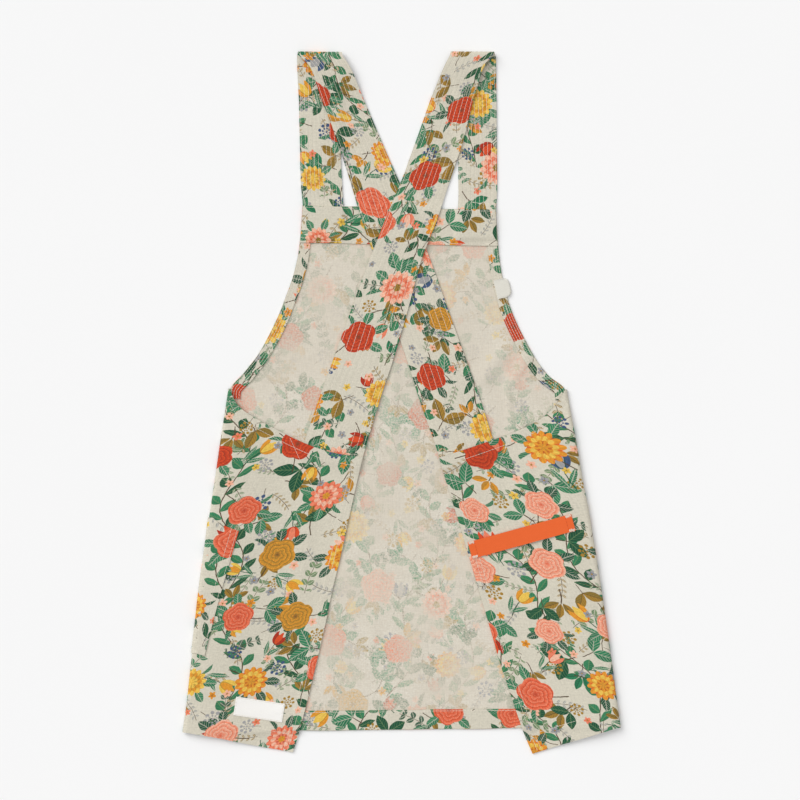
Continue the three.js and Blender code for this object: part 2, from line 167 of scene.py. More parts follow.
# Wrinkles of each sheet: heights of its broad swells, narrow creases and small puckers
WrinkleSet = namedtuple("WrinkleSet", "seed swell crease pucker")
FRONT_WRINKLES = WrinkleSet(100, 0.0007, 0.0010, 0.0002)
HEM_WRINKLES = WrinkleSet(130, 0.0001, 0.0, 0.0002)
BINDING_WRINKLES = WrinkleSet(140, 0.0001, 0.0, 0.00025)
STRAP_FRONT_WRINKLES = WrinkleSet(150, 0.0003, 0.0, 0.0003)
STRAP_BACK_WRINKLES = WrinkleSet(160, 0.0005, 0.0005, 0.0002)
FACING_WRINKLES = WrinkleSet(170, 0.0002, 0.0, 0.0002)
FLAP_WRINKLES = {
    "left": WrinkleSet(200, 0.0016, 0.0016, 0.0003),
    "right": WrinkleSet(220, 0.0016, 0.0016, 0.0003),
}
SWELL_LENGTH = 0.13
CREASE_LENGTH = 0.10
CREASE_SHARPNESS = 5
CREASE_BEND = 0.03  # how far a crease strays from a straight line
CREASE_BEND_LENGTH = 0.09
CREASE_PATCH_LENGTH = 0.16  # creases come in patches of about this size
CREASE_PATCH_EDGE = (-0.2, 0.7)  # from none to full, on a scale from -1 to 1
PUCKER_LENGTH = 0.022
DRIFT = 0.0007  # how far an edge strays from its line
DRIFT_LENGTH = 0.05
DRIFT_SEED = 40

# Sections across the straps: up the front to the shoulder, then down across the back.
# slant is how much further up the right edge is.
Section = namedtuple("Section", "y left_x right_x slant")
FRONT_RUN = {
    "left": [
        Section(0.222, -0.132, -0.079, 0.0),
        Section(0.266, -0.1335, -0.0795, 0.0),
        Section(0.292, -0.136, -0.081, 0.0),
        Section(0.380, -0.139, -0.084, 0.0),
        Section(SHOULDER_LINE, -0.141, -0.083, 0.0),
    ],
    "right": [
        Section(0.222, 0.075, 0.126, 0.0),
        Section(0.261, 0.0755, 0.127, 0.0),
        Section(0.288, 0.0765, 0.128, 0.0),
        Section(0.380, 0.075, 0.1275, 0.0),
        Section(SHOULDER_LINE, 0.067, 0.126, 0.0),
    ],
}
BACK_RUN = {
    "left": [
        Section(SHOULDER_LINE, -0.138, -0.080, 0.0),
        Section(0.450, -0.1225, -0.0690, 0.0),
        Section(0.414, -0.110, -0.054, 0.0),
        Section(0.349, -0.086, -0.026, 0.0),
        Section(0.240, -0.052, 0.020, 0.002),
        Section(0.190, -0.035, 0.0385, 0.004),
        Section(0.090, -0.0027, 0.073, 0.008),
        Section(0.010, 0.024, 0.101, 0.014),
        Section(-0.063, 0.050, 0.124, 0.021),
        Section(-0.080, 0.0555, 0.129, 0.021),
    ],
    "right": [
        Section(SHOULDER_LINE, 0.064, 0.1215, 0.0),
        Section(0.450, 0.0550, 0.1090, 0.0),
        Section(0.414, 0.0405, 0.098, 0.0),
        Section(0.349, 0.0176, 0.081, 0.0),
        Section(0.240, -0.024, 0.044, -0.002),
        Section(0.190, -0.045, 0.025, -0.004),
        Section(0.090, -0.0795, -0.0027, -0.008),
        Section(0.010, -0.1075, -0.030, -0.014),
        Section(-0.064, -0.132, -0.0525, -0.019),
        Section(-0.081, -0.1375, -0.0575, -0.019),
    ],
}
STRAP_ROWS = 10
STRAP_MARGIN = 0.036  # outer row from the strap's edge, as a share of its width
STRAP_RIDGE_SHAPE = 0.8  # under 1 makes the ridges between two rows fuller

# Pocket round the left fold, tape loop on the right flap, bare label on the left flap, tab on the armhole
POCKET_BOTTOM = -0.334
POCKET_TOP = -0.150
POCKET_FRONT_WIDTH = 0.130
POCKET_BACK_WIDTH = {"bottom": 0.0115, "top": 0.034}
POCKET_PROUD = 0.0002  # extra height of its part on the flap
Tape = namedtuple("Tape", "x y length height turn bow")
LOOP = Tape(0.161, -0.1803, 0.144, 0.023, math.radians(15.5), 0.0022)
LABEL = Tape(-0.1925, -0.4135, 0.066, 0.025, math.radians(-8.9), 0.0)
TAB_AT = 0.575
TAB_WIDTH = 0.026
TAB_INSIDE = 0.013
TAB_OUTSIDE = 0.0068
TAB_CORNER = 0.008
TAB_TOP = 0.0037  # middle of its upper layer
TAB_UNDER_END = 0.0015  # how far outside the armhole edge its lower layer ends
TAB_CLEARANCE = 0.0001  # under its lower layer

# Sewing
STITCH_LENGTH = 0.0037
STITCH_PITCH = 0.0039
STITCH_WIDTH = 0.0006
STITCH_HEIGHT = 0.0005
STITCH_BLUNT = 0.22  # 1 makes a stitch an oval, 0 a straight rod
STITCH_SEED = 31
FIRST_STITCH = (0.2, 0.8)  # a row starts by chance between these shares of a stitch's pitch
ROW_POINTS = 300
EDGE_ROWS = (0.008, 0.0135)  # rows beside the flaps' open edges
EDGE_ROW_ENDS = (0.004, 0.985)  # as shares of a flap's length
HEM_ROW_END = 0.93  # as a share of a flap's width
FLAP_TOP_ROW = 0.014
TOP_ROW_END = 0.95
# Points on the rows that run down the flaps from their top edges
PANEL_ROWS = {
    "left": [(-0.151, -0.048), (-0.115, -0.1235), (-0.100, -0.152), (-0.077, -0.199)],
    "right": [(0.1485, -0.041), (0.1255, -0.094), (0.1134, -0.125), (0.089, -0.1856)],
}
BINDING_ROWS = (0.0018, 0.0052, 0.0086, 0.0122)
BAND_ROW = 0.0022  # row beside a band's edge
POCKET_ROWS = (0.0022, 0.0095)
LABEL_ROW = 0.0013
LABEL_ROW_ENDS = (0.02, 0.98)  # as shares of the label's length
LABEL_END_ROW = 0.0015
LABEL_END_ROW_ENDS = (0.05, 0.95)  # as shares of its height
LOOP_ROW = 0.0088
LOOP_ROW_ENDS = (0.1, 0.9)
TACK_FROM_END = 0.0045
TACK_FROM_RIM = 0.0016
TACK_STITCHES = 13
TACK_PITCH = 0.00058
TACK_REACH = 0.0013  # half the width of a tack
TACK_POINTS = 4

# Mesh steps
FRONT_WIDTH = 0.58  # rough sizes, for the number of steps
FLAP_WIDTH = 0.165
FACING_WIDTH = 0.265
BINDING_LENGTH = 0.23
CELL = 0.0042
EDGE_CELL = 0.0014
BAND_CELL = 0.003
FACING_CELL = 0.0025
TAPE_CELL = 0.002
HEM_BAND = 0.030  # bands with fine steps at the edges of the front and the flaps
TOP_BAND = 0.018
OPEN_EDGE_BAND = 0.018
FOLD_BAND = 0.004
FOLD_STEPS = 10
SHOULDER_STEPS = 13
SECTION_POINTS = 400  # along a run of a strap, to even out its steps
HEM_STEPS = 15
BINDING_STEPS = 9
FACING_STEPS = 22
POCKET_BACK_STEPS = 17
ROW_STEPS = 4  # from one sewn row of a strap to the next
TAB_STEPS = 14
TAB_TURN_STEPS = 10
TAB_UNDER_STEPS = 5
MERGE_DISTANCE = 1e-6
SMOOTH_ANGLE = math.radians(55)
FLAT_CUT = "flat_cut"

# Raster of the pile
TABLE_CELL = 0.002
TABLE_LOW = (-0.34, -0.52)
TABLE_SHAPE = (521, 341)
LAY_STEPS = 4  # points read from one mesh step to the next when a sheet is laid
# How often the pile is softened under a sheet: the more often, the longer the steps that the sheet bridges
SETTLE_PASSES = 14
BAND_PASSES = 3
FACING_PASSES = 8
POCKET_PASSES = 2
TAPE_PASSES = 20

SEED = 11
RIPPLE_SIZE = 64  # bumps of a random field each way, before it repeats


def srgb(r, g, b):
    """A colour as the eye reads it, 0 to 255, for a shader."""
    linear = [c / 255 / 12.92 if c < 11 else ((c / 255 + 0.055) / 1.055) ** 2.4 for c in (r, g, b)]
    return (*linear, 1.0)


# Colours
CREAM = srgb(207, 201, 184)
BEIGE = srgb(209, 200, 184)
EMERALD = srgb(50, 124, 86)
DEEP_GREEN = srgb(30, 80, 57)
SAGE = srgb(114, 140, 98)
ORANGE_RED = srgb(208, 78, 43)
BRICK = srgb(168, 52, 34)
CORAL = srgb(226, 128, 98)
BLUSH = srgb(232, 180, 154)
YELLOW = srgb(226, 188, 84)
GOLD = srgb(216, 146, 50)
OCHRE = srgb(160, 124, 52)
GREY = srgb(156, 155, 154)
DUSK_BLUE = srgb(66, 86, 118)
BROWN = srgb(82, 64, 45)
THREAD_WHITE = srgb(238, 230, 216)
THREAD_SHADE = srgb(216, 207, 191)
TAPE_ORANGE = srgb(234, 105, 50)
TAPE_SHADE = srgb(212, 86, 37)
THREAD_ORANGE = srgb(178, 64, 24)
LABEL_WHITE = srgb(248, 246, 242)
LABEL_SHADE = srgb(236, 233, 227)
TAB_CREAM = srgb(225, 222, 211)
TAB_SHADE = srgb(211, 207, 196)
FLOOR_WHITE = (0.895, 0.895, 0.895, 1.0)
FLOOR_LIGHTER = (0.905, 0.905, 0.905, 1.0)

# Flower print
PRINT_EDGE = 0.0004  # softness of a printed edge
HAND_SHAKE = 0.0016  # unsteadiness of the drawn lines
SEED_SHIFT = (0.37, 0.61)  # how far the rows of a motif are moved for each number of its seed
SHRINK_LEAST = 0.85  # a motif is shrunk by a factor from this
SHRINK_RANGE = 0.35  # up to this much more
SECOND_DRAW = (0, 0, 50)  # from a cell's first three chances to the next three
LEAF_SHADE = 0.3  # the darker side of a leaf
VEIN_SLANT = 1.1
VEIN_SHARE = 0.24  # of the way from one vein to the next
VEIN_EDGE = 0.12
VEIN_STRENGTH = 0.5
MIDRIB = 0.00055
MIDRIB_EDGE = 0.0003
MIDRIB_STRENGTH = 0.7
STROKES_ROUND = 5.0  # how fast brush strokes change round a bloom
STROKES_OUT = 90.0  # and out from its middle
STROKE_SCALE = 2.4
STROKE_STRENGTH = 0.6
STROKE_SHADE = (0.36, 0.82)  # range and least of the fine shading all over the print
VINE_SEEDS = (21, 22, 23)  # for the sway, the parts that are printed and the colours of the leaves
Sprig = namedtuple("Sprig", "pitch turn seed kept half_length leaf plump colours")
SPRIGS = [
    Sprig(0.045, 1.10, 1, 0.75, 0.016, 0.0072, 0.20, [OCHRE, GREY, SAGE, OCHRE]),
    Sprig(0.060, -0.54, 2, 0.6, 0.022, 0.0100, 0.32, [EMERALD, DEEP_GREEN, SAGE]),
]
Whorl = namedtuple("Whorl", "share petals phase tips gaps")
WHORLS = [
    Whorl(1.00, 13, 0.0, [YELLOW, CORAL, GOLD, BLUSH], [GOLD, ORANGE_RED, ORANGE_RED, CORAL]),
    Whorl(0.72, 11, 0.6, [GOLD, BLUSH, YELLOW, CORAL], [OCHRE, CORAL, GOLD, ORANGE_RED]),
    Whorl(0.46, 8, 0.3, [YELLOW, CORAL, GOLD, BLUSH], [OCHRE, BRICK, BRICK, ORANGE_RED]),
    Whorl(0.24, 5, 0.9, [YELLOW, GOLD, GOLD, OCHRE], [GOLD, OCHRE, OCHRE, BROWN]),
]

# Print as it shows through to the inside
INSIDE_STRENGTH = 0.58
INSIDE_ON_BIB = 0.62  # share of that on the bib
INSIDE_BIB_FADE = (-0.02, 0.08)  # heights up the front between which it fades to that share
INSIDE_FRAY = 0.005  # how far specks of it stray
INSIDE_GAMMA = 0.7  # under 1 makes it paler
INSIDE_SPECKS = (2.4, -0.7)  # contrast and start of the noise that breaks it into specks
INSIDE_PATCHES = (3.2, -0.6)  # and into patches

# Yarns
CANVAS_YARN = 0.0011
YARN_STRETCH = 0.09  # how slowly a yarn's thickness changes along it, against across it
YARN_BUMP = 1.1  # length of that change across it, in yarns
YARN_SHADE = (0.15, 0.85)  # range and least of a yarn's shade
PATCH_SHADE = (0.06, 0.97)  # range and least of the shade of the canvas in broad patches
WEAVE_RELIEF = 0.25  # the weave's relief against the unevenness of its yarns
TAPE_RIB = 0.0013
RIBBON_RIB = 0.0010
RIB_ZIGZAG = 0.0055  # width in which the ribs of a tape lean one way
RIB_LEAN = 0.8
RIB_SHADE = 0.8
CLOTH_BUMP = 0.00012
THREAD_BUMP = 0.0001
CANVAS_ROUGHNESS = 0.9
TAPE_ROUGHNESS = 0.75
THREAD_ROUGHNESS = 0.6


def make_camera():
    data = bpy.data.cameras.new("camera")
    data.sensor_width = SENSOR
    data.lens = SENSOR * CAMERA_HEIGHT / PICTURE_WIDTH
    camera = bpy.data.objects.new("camera", data)
    camera.location = (*CAMERA_PLACE, CAMERA_HEIGHT)
    bpy.context.scene.collection.objects.link(camera)
    bpy.context.scene.camera = camera


make_camera()


# Numbers


def lerp(a, b, t):
    return a + (b - a) * t


def smoothstep(low, high, x):
    t = np.clip((x - low) / (high - low), 0.0, 1.0)
    return t * t * (3 - 2 * t)


def smoother(t):
    return t**3 * (t * (6 * t - 15) + 10)


def smooth_curve(at, values, place):
    """A curve through a table's rows that never overshoots them."""
    at = np.asarray(at, float)
    values = np.asarray(values, float)
    step = np.diff(at)
    slope = np.diff(values) / step
    tangent = np.empty(len(at))
    tangent[0] = slope[0]
    tangent[-1] = slope[-1]
    before = slope[:-1]
    after = slope[1:]
    same_way = before * after > 0
    total = np.where(same_way, before + after, 1.0)
    tangent[1:-1] = np.where(same_way, 2 * before * after / total, 0.0)
    place = np.asarray(place, float)
    i = np.clip(np.searchsorted(at, place, side="right") - 1, 0, len(step) - 1)
    t = (place - at[i]) / step[i]
    rise = values[i + 1] - values[i]
    leave = tangent[i] * step[i]
    arrive = tangent[i + 1] * step[i]
    return values[i] + t * (leave + t * (3 * rise - 2 * leave - arrive + t * (leave + arrive - 2 * rise)))


def stacked(*parts):
    """Points, or places in the flat cut, from their separate coordinates."""
    return np.stack(parts, axis=-1)


def running_total(lengths):
    """The distance along a line to each of its points, from the lengths of its steps."""
    return np.concatenate([[0], np.cumsum(lengths)])


def lengths_along(points):
    """The distance along a line in space to each of its points."""
    return running_total(np.linalg.norm(np.diff(points, axis=0), axis=1))


def ripple(x, y, length, seed):
    """A smooth random field between -1 and 1, with bumps of about that length."""
    table = np.random.default_rng(SEED + seed).uniform(-1, 1, (RIPPLE_SIZE, RIPPLE_SIZE))
    grid_x = np.asarray(x, float) / length + RIPPLE_SIZE / 2
    grid_y = np.asarray(y, float) / length + RIPPLE_SIZE / 2
    column = np.floor(grid_x).astype(int)
    row = np.floor(grid_y).astype(int)

    def corner(right, up):
        return table[(row + up) % RIPPLE_SIZE, (column + right) % RIPPLE_SIZE]

    across = smoother(grid_x - column)
    low = lerp(corner(0, 0), corner(1, 0), across)
    high = lerp(corner(0, 1), corner(1, 1), across)
    return lerp(low, high, smoother(grid_y - row))


def wrinkles(x, y, kind):
    """Height of soft swells, narrow creases and small puckers in a sheet, never below zero."""
    broad = 0.5 + 0.5 * ripple(x, y, SWELL_LENGTH, kind.seed)
    bent_x = x + CREASE_BEND * ripple(x, y, CREASE_BEND_LENGTH, kind.seed + 1)
    bent_y = y + CREASE_BEND * ripple(x, y, CREASE_BEND_LENGTH, kind.seed + 2)
    sharp = (1 - np.abs(ripple(bent_x, bent_y, CREASE_LENGTH, kind.seed + 3))) ** CREASE_SHARPNESS
    where = smoothstep(*CREASE_PATCH_EDGE, ripple(x, y, CREASE_PATCH_LENGTH, kind.seed + 4))
    small = 0.5 + 0.5 * ripple(x, y, PUCKER_LENGTH, kind.seed + 5)
    return kind.swell * broad + kind.crease * sharp * where + kind.pucker * small


# Sheets and the pile that they lie on


class Cloth:
    """A sheet as a grid of points, with rows along it, columns across it and places in the flat cut."""

    def __init__(self, across, along, points, flat, thickness):
        self.across = np.asarray(across, float)
        self.along = np.asarray(along, float)
        self.points = points
        self.flat = flat
        self.thickness = np.broadcast_to(np.asarray(thickness, float), points.shape[:2])

    def normals(self):
        n = np.cross(np.gradient(self.points, axis=1), np.gradient(self.points, axis=0))
        return n / np.linalg.norm(n, axis=2, keepdims=True)

    def upper_side(self):
        """The side of the sheet that faces up: 1 or -1."""
        return np.sign(self.normals()[..., 2].mean())

    def part_way(self, share):
        """A share of the sheet's own length as a place along it."""
        return lerp(self.along[0], self.along[-1], share)

    def read(self, grid, across, along):
        """A grid's values at places across and along the sheet."""
        column = np.interp(across, self.across, np.arange(len(self.across)))
        row = np.interp(along, self.along, np.arange(len(self.along)))
        c = np.minimum(column.astype(int), grid.shape[1] - 2)
        r = np.minimum(row.astype(int), grid.shape[0] - 2)
        fc = (column - c).reshape(column.shape + (1,) * (grid.ndim - 2))
        fr = (row - r).reshape(row.shape + (1,) * (grid.ndim - 2))
        low = lerp(grid[r, c], grid[r, c + 1], fc)
        high = lerp(grid[r + 1, c], grid[r + 1, c + 1], fc)
        return lerp(low, high, fr)

    def face(self, across, along, side):
        """Points on one face of the sheet, and the way that it faces there. side is 1 or -1."""
        normal = self.read(self.normals(), across, along) * side
        normal /= np.linalg.norm(normal, axis=-1, keepdims=True)
        half = self.read(self.thickness, across, along)[..., None] / 2
        return self.read(self.points, across, along) + normal * half, normal


class Pile:
    """The height of the cloth on the table so far, on a square raster."""

    def __init__(self):
        self.height = np.zeros(TABLE_SHAPE)

    def read(self, field, x, y):
        just_inside = 1.001
        c = np.clip((x - TABLE_LOW[0]) / TABLE_CELL, 0, TABLE_SHAPE[1] - just_inside)
        r = np.clip((y - TABLE_LOW[1]) / TABLE_CELL, 0, TABLE_SHAPE[0] - just_inside)
        ic = c.astype(int)
        ir = r.astype(int)
        fc = c - ic
        low = lerp(field[ir, ic], field[ir, ic + 1], fc)
        high = lerp(field[ir + 1, ic], field[ir + 1, ic + 1], fc)
        return lerp(low, high, r - ir)

    def seat(self, x, y, thickness, passes=SETTLE_PASSES):
        """Height of the middle of a sheet that settles on the pile, bridging its steps."""
        soft = self.height.copy()
        for _ in range(passes):
            wide = np.pad(soft, 1, mode="edge")
            rows = (wide[:-2] + 2 * wide[1:-1] + wide[2:]) / 4
            blurred = (rows[:, :-2] + 2 * rows[:, 1:-1] + rows[:, 2:]) / 4
            soft = np.maximum(self.height, blurred)
        return self.read(soft, x, y) + LAYER_GAP + thickness / 2

    def lay(self, cloth):
        """Adds a sheet's upper face to the pile, and gives the sheet back."""
        rows, columns = cloth.points.shape[:2]
        grid = Cloth(np.arange(columns), np.arange(rows), cloth.points, None, cloth.thickness)
        c, r = np.meshgrid(
            np.linspace(0, columns - 1, (columns - 1) * LAY_STEPS + 1),
            np.linspace(0, rows - 1, (rows - 1) * LAY_STEPS + 1),
        )
        points = grid.read(cloth.points, c, r)
        top = points[..., 2] + grid.read(cloth.thickness, c, r) / 2
        column = np.rint((points[..., 0] - TABLE_LOW[0]) / TABLE_CELL).astype(int)
        row = np.rint((points[..., 1] - TABLE_LOW[1]) / TABLE_CELL).astype(int)
        np.maximum.at(self.height, (row.ravel(), column.ravel()), top.ravel())
        return cloth


def steps(length, cell):
    """Even shares along a length, about one cell apart."""
    return np.linspace(0, 1, max(2, int(round(length / cell)) + 1))


def graded(length, low_band, high_band):
    """Shares along a length, with fine steps in a band at each end."""
    low = np.arange(0, low_band, EDGE_CELL)
    high = length - np.arange(0, high_band, EDGE_CELL)[::-1]
    middle_length = high[0] - low_band
    middle = low_band + steps(middle_length, CELL)[:-1] * middle_length
    return np.concatenate([low, middle, high]) / length


# Plans of the smock, as places on the table


def edge(table, side, at):
    """One side's curve from a two-sided table."""
    rows = [row.at for row in table]
    x = smooth_curve(rows, [getattr(row, side + "_x") for row in table], at)
    y = smooth_curve(rows, [getattr(row, side + "_y") for row in table], at)
    return x, y


def drift(x, y):
    """The small unevenness of a cut and sewn outline."""
    drift_x = DRIFT * ripple(x, y, DRIFT_LENGTH, DRIFT_SEED)
    drift_y = DRIFT * ripple(x, y, DRIFT_LENGTH, DRIFT_SEED + 1)
    return x + drift_x, y + drift_y


def fold_share(v):
    """How round a side fold is along its length: it flattens towards the underarm."""
    return 1 - FOLD_TOP_FLATTENED * smoothstep(FOLD_TOP_FROM, 1.0, v)


def front_plan(u, v):
    """Places at shares across and up the front, from one side fold to the other."""
    left_x, left_y = edge(SIDE_FOLDS, "left", v)
    right_x, right_y = edge(SIDE_FOLDS, "right", v)
    radius = SIDE_FOLD_RADIUS * fold_share(v)
    return lerp(left_x + radius, right_x - radius, u), lerp(left_y, right_y, u)


def bib_plan(u, b):
    """Places at shares across and up the bib, from one armhole edge to the other."""
    left_x, left_y = edge(BINDING_EDGE, "left", b)
    right_x, right_y = edge(BINDING_EDGE, "right", b)
    return lerp(left_x, right_x, u), lerp(left_y, right_y, u)


def flap_plan(side, w, v):
    """Places on a flap at shares of its width, from the side fold, and of its length."""
    inwards = 1 if side == "left" else -1
    fold_x, fold_y = edge(SIDE_FOLDS, side, v)
    edge_x, edge_y = edge(BACK_EDGES, side, v)
    start_x = fold_x + inwards * SIDE_FOLD_RADIUS * fold_share(v)
    drop = FLAP_TOP_DROP[side] * (1 - np.exp(-w / FLAP_DROP_SHARE[side])) * (1 - w) * v**DROP_FADE
    sag = FLAP_TOP_SAG[side] * np.sin(np.pi * w**SAG_SKEW) * v**SAG_FADE
    return lerp(start_x, edge_x, w), lerp(fold_y, edge_y, w) - drop - sag


def to_open_edge(side, w, v):
    """Distance across a flap from a share of its width to its open edge."""
    x0, y0 = flap_plan(side, w, v)
    x1, y1 = flap_plan(side, 1.0, v)
    return np.hypot(x1 - x0, y1 - y0)


def flap_place(side, x, y):
    """The shares (w, v) of a flap at a place on the table, by halving its length again and again."""
    halvings = 30
    low = np.zeros_like(x)
    high = np.ones_like(x)
    for _ in range(halvings):
        v = (low + high) / 2
        x0, y0 = flap_plan(side, 0.0, v)
        x1, y1 = flap_plan(side, 1.0, v)
        w = (x - x0) / (x1 - x0)
        under = flap_plan(side, np.clip(w, 0, 1), v)[1] < y
        low = np.where(under, v, low)
        high = np.where(under, high, v)
    return w, v


def armhole_outwards(side, b):
    """The direction out of the bib, square to an armhole edge."""
    step = 0.01
    x0, y0 = edge(BINDING_EDGE, side, b - step)
    x1, y1 = edge(BINDING_EDGE, side, b + step)
    length = np.hypot(x1 - x0, y1 - y0)
    sign = 1 if side == "left" else -1
    return -sign * (y1 - y0) / length, sign * (x1 - x0) / length


def strap_plan(sections, t, along):
    """Places at shares across and along one run of a strap."""
    rows = np.arange(len(sections))

    def column(name):
        return smooth_curve(rows, [getattr(section, name) for section in sections], along * rows[-1])

    x = lerp(column("left_x"), column("right_x"), t)
    return x, column("y") + column("slant") * (t - 0.5)


def even_shares(sections):
    """Shares along a strap's run at even steps of its length."""
    fine = np.linspace(0, 1, SECTION_POINTS)
    x, y = strap_plan(sections, 0.5, fine)
    length = running_total(np.hypot(np.diff(x), np.diff(y)))
    return np.interp(steps(length[-1], BAND_CELL) * length[-1], length, fine)


def pocket_back_width(rise):
    """Width of the pocket on the flap, from its bottom (at 0) to its top (at 1)."""
    return lerp(POCKET_BACK_WIDTH["bottom"], POCKET_BACK_WIDTH["top"], rise)


# Laying the smock


# Mesh lines, as shares of a sheet's length or width
ALONG = graded(BODY_LENGTH, HEM_BAND, TOP_BAND)
ACROSS = steps(FRONT_WIDTH, CELL)
FLAP_ACROSS = 1 - graded(FLAP_WIDTH, OPEN_EDGE_BAND, FOLD_BAND)[::-1]
QUILTED = np.linspace(STRAP_MARGIN, 1 - STRAP_MARGIN, (STRAP_ROWS - 1) * ROW_STEPS + 1)
STRAP_ACROSS = np.concatenate([[0, STRAP_MARGIN / 2], QUILTED, [1 - STRAP_MARGIN / 2, 1]])

pile = Pile()


def lay_pocket_front():
    """The hidden part of the pocket, under the front."""
    fold_low = SIDE_FOLDS[0].left_y
    fold_high = SIDE_FOLDS[-1].left_y
    low = (POCKET_BOTTOM - fold_low) / (fold_high - fold_low)
    high = (POCKET_TOP - fold_low) / (fold_high - fold_low)
    along = lerp(low, high, steps(POCKET_TOP - POCKET_BOTTOM, CELL))
    t, v = np.meshgrid(steps(POCKET_FRONT_WIDTH, CELL), along)
    left_x, _ = front_plan(0.0, v)
    right_x, _ = front_plan(1.0, v)
    x, y = drift(*front_plan(POCKET_FRONT_WIDTH / (right_x - left_x) * t, v))
    points = stacked(x, y, np.full_like(x, CANVAS / 2))
    return pile.lay(Cloth(t[0], along, points, None, CANVAS))


def creases(x, y):
    """Height of the soft lines in the front."""
    rise_from, rise_to, fade_from, fade_to = CREASE_ENDS
    height = np.zeros_like(x)
    for line in FRONT_CREASES:
        run_x = line.x1 - line.x0
        run_y = line.y1 - line.y0
        length = math.hypot(run_x, run_y)
        along = ((x - line.x0) * run_x + (y - line.y0) * run_y) / length**2
        aside = ((x - line.x0) * run_y - (y - line.y0) * run_x) / length
        faded = smoothstep(rise_from, rise_to, along) * (1 - smoothstep(fade_from, fade_to, along))
        height += line.height * faded * np.exp(-((aside / line.width) ** 2))
    return height


def lay_front():
    """The front and the bib, each settled on the table and the pocket."""
    sheets = []
    for plan, along in ((front_plan, ALONG), (bib_plan, steps(BIB_LENGTH, CELL))):
        x, y = drift(*plan(*np.meshgrid(ACROSS, along)))
        z = pile.seat(x, y, CANVAS) - LAYER_GAP + wrinkles(x, y, FRONT_WRINKLES) + creases(x, y)
        sheets.append(Cloth(ACROSS, along, stacked(x, y, z), stacked(x, y), CANVAS))
    for sheet in sheets:
        pile.lay(sheet)
    return sheets


def lay_band(across, along, x, y, flat, passes, kind):
    """A band of canvas sewn on the sheets below it."""
    z = pile.seat(x, y, CANVAS, passes) + wrinkles(x, y, kind)
    return pile.lay(Cloth(across[0], along[:, 0], stacked(x, y, z), flat, CANVAS))


def lay_hem():
    """The hem, turned up along the front's lower edge."""
    low = BAND_INSET / BODY_LENGTH
    high = HEM_DEPTH / BODY_LENGTH
    u, v = np.meshgrid(steps(FRONT_WIDTH, BAND_CELL), np.linspace(low, high, HEM_STEPS))
    x, y = drift(*front_plan(lerp(HEM_SIDE_GAP, 1 - HEM_SIDE_GAP, u), v))
    return lay_band(u, v, x, y, stacked(x, y), BAND_PASSES, HEM_WRINKLES)


def lay_binding(side):
    """The binding inside an armhole edge."""
    along = lerp(BINDING_LOW, BINDING_HIGH, steps(BINDING_LENGTH, BAND_CELL))
    t, b = np.meshgrid(np.linspace(0, 1, BINDING_STEPS), along)
    inset = BAND_INSET + BINDING_WIDTH * (t if side == "left" else 1 - t)
    edge_x, edge_y = edge(BINDING_EDGE, side, b)
    out_x, out_y = armhole_outwards(side, b)
    x, y = drift(edge_x - out_x * inset, edge_y - out_y * inset)
    return lay_band(t, b, x, y, stacked(inset, b * BIB_LENGTH), BAND_PASSES, BINDING_WRINKLES)


def lay_facing():
    """The facing inside the bib's top edge, over the strap ends."""
    low = 1 - FACING_DEPTH / BIB_LENGTH
    high = 1 - BAND_INSET / BIB_LENGTH
    u, b = np.meshgrid(steps(FACING_WIDTH, FACING_CELL), np.linspace(low, high, FACING_STEPS))
    x, y = drift(*bib_plan(lerp(FACING_SIDE_GAP, 1 - FACING_SIDE_GAP, u), b))
    return lay_band(u, b, x, y, stacked(x, y), FACING_PASSES, FACING_WRINKLES)


def strap_thickness(shape):
    """A strap is thin at its edges and its sewn rows, and full between two rows."""
    channel = (STRAP_ACROSS - STRAP_MARGIN) / (1 - 2 * STRAP_MARGIN) * (STRAP_ROWS - 1)
    wave = np.abs(np.sin(np.pi * np.clip(channel, 0, STRAP_ROWS - 1))) ** STRAP_RIDGE_SHAPE
    return np.broadcast_to(lerp(STRAP_ROW, STRAP_RIDGE, wave), shape)


def lay_strap(sections, lifted):
    """One run of a strap. lifted gives its height from its place and from how it would rest on the pile."""
    along = even_shares(sections)
    x, y = drift(*strap_plan(sections, *np.meshgrid(STRAP_ACROSS, along)))
    z = lifted(x, y, pile.seat(x, y, STRAP_RIDGE))
    return pile.lay(Cloth(STRAP_ACROSS, along, stacked(x, y, z), None, strap_thickness(x.shape)))


def up_to_the_shoulder(x, y, rest):
    """The front run lies flat and lifts a little just below the shoulder."""
    lift = SHOULDER_LIFT * smoothstep(SHOULDER_LINE - SHOULDER_LIFT_RUN, SHOULDER_LINE, y)
    return rest + wrinkles(x, y, STRAP_FRONT_WRINKLES) + lift


def down_the_back(x, y, rest):
    """The back run comes down on to the pile from the roll over the shoulder."""
    from_roll = (SHOULDER_LINE - y) / SHOULDER_SETTLE
    loft = (SHOULDER_TOP - rest) * (1 - smoothstep(0, 1, from_roll))
    loose = wrinkles(x, y, STRAP_BACK_WRINKLES) * smoothstep(0, STRAP_LOOSE_FROM, from_roll)
    return rest + np.maximum(loft, 0) + loose


def rolled(start, end, bulge, count):
    """Lines of points that turn over from one edge to another, standing out by bulge in x and y."""
    turn = np.linspace(0, 1, count + 1)[1:-1, None]
    points = lerp(start, end, turn[..., None])
    points[..., :2] += bulge * np.sin(np.pi * turn)[..., None]
    points[..., 2] = (start + end)[:, 2] / 2 - (end - start)[:, 2] / 2 * np.cos(np.pi * turn)
    return points


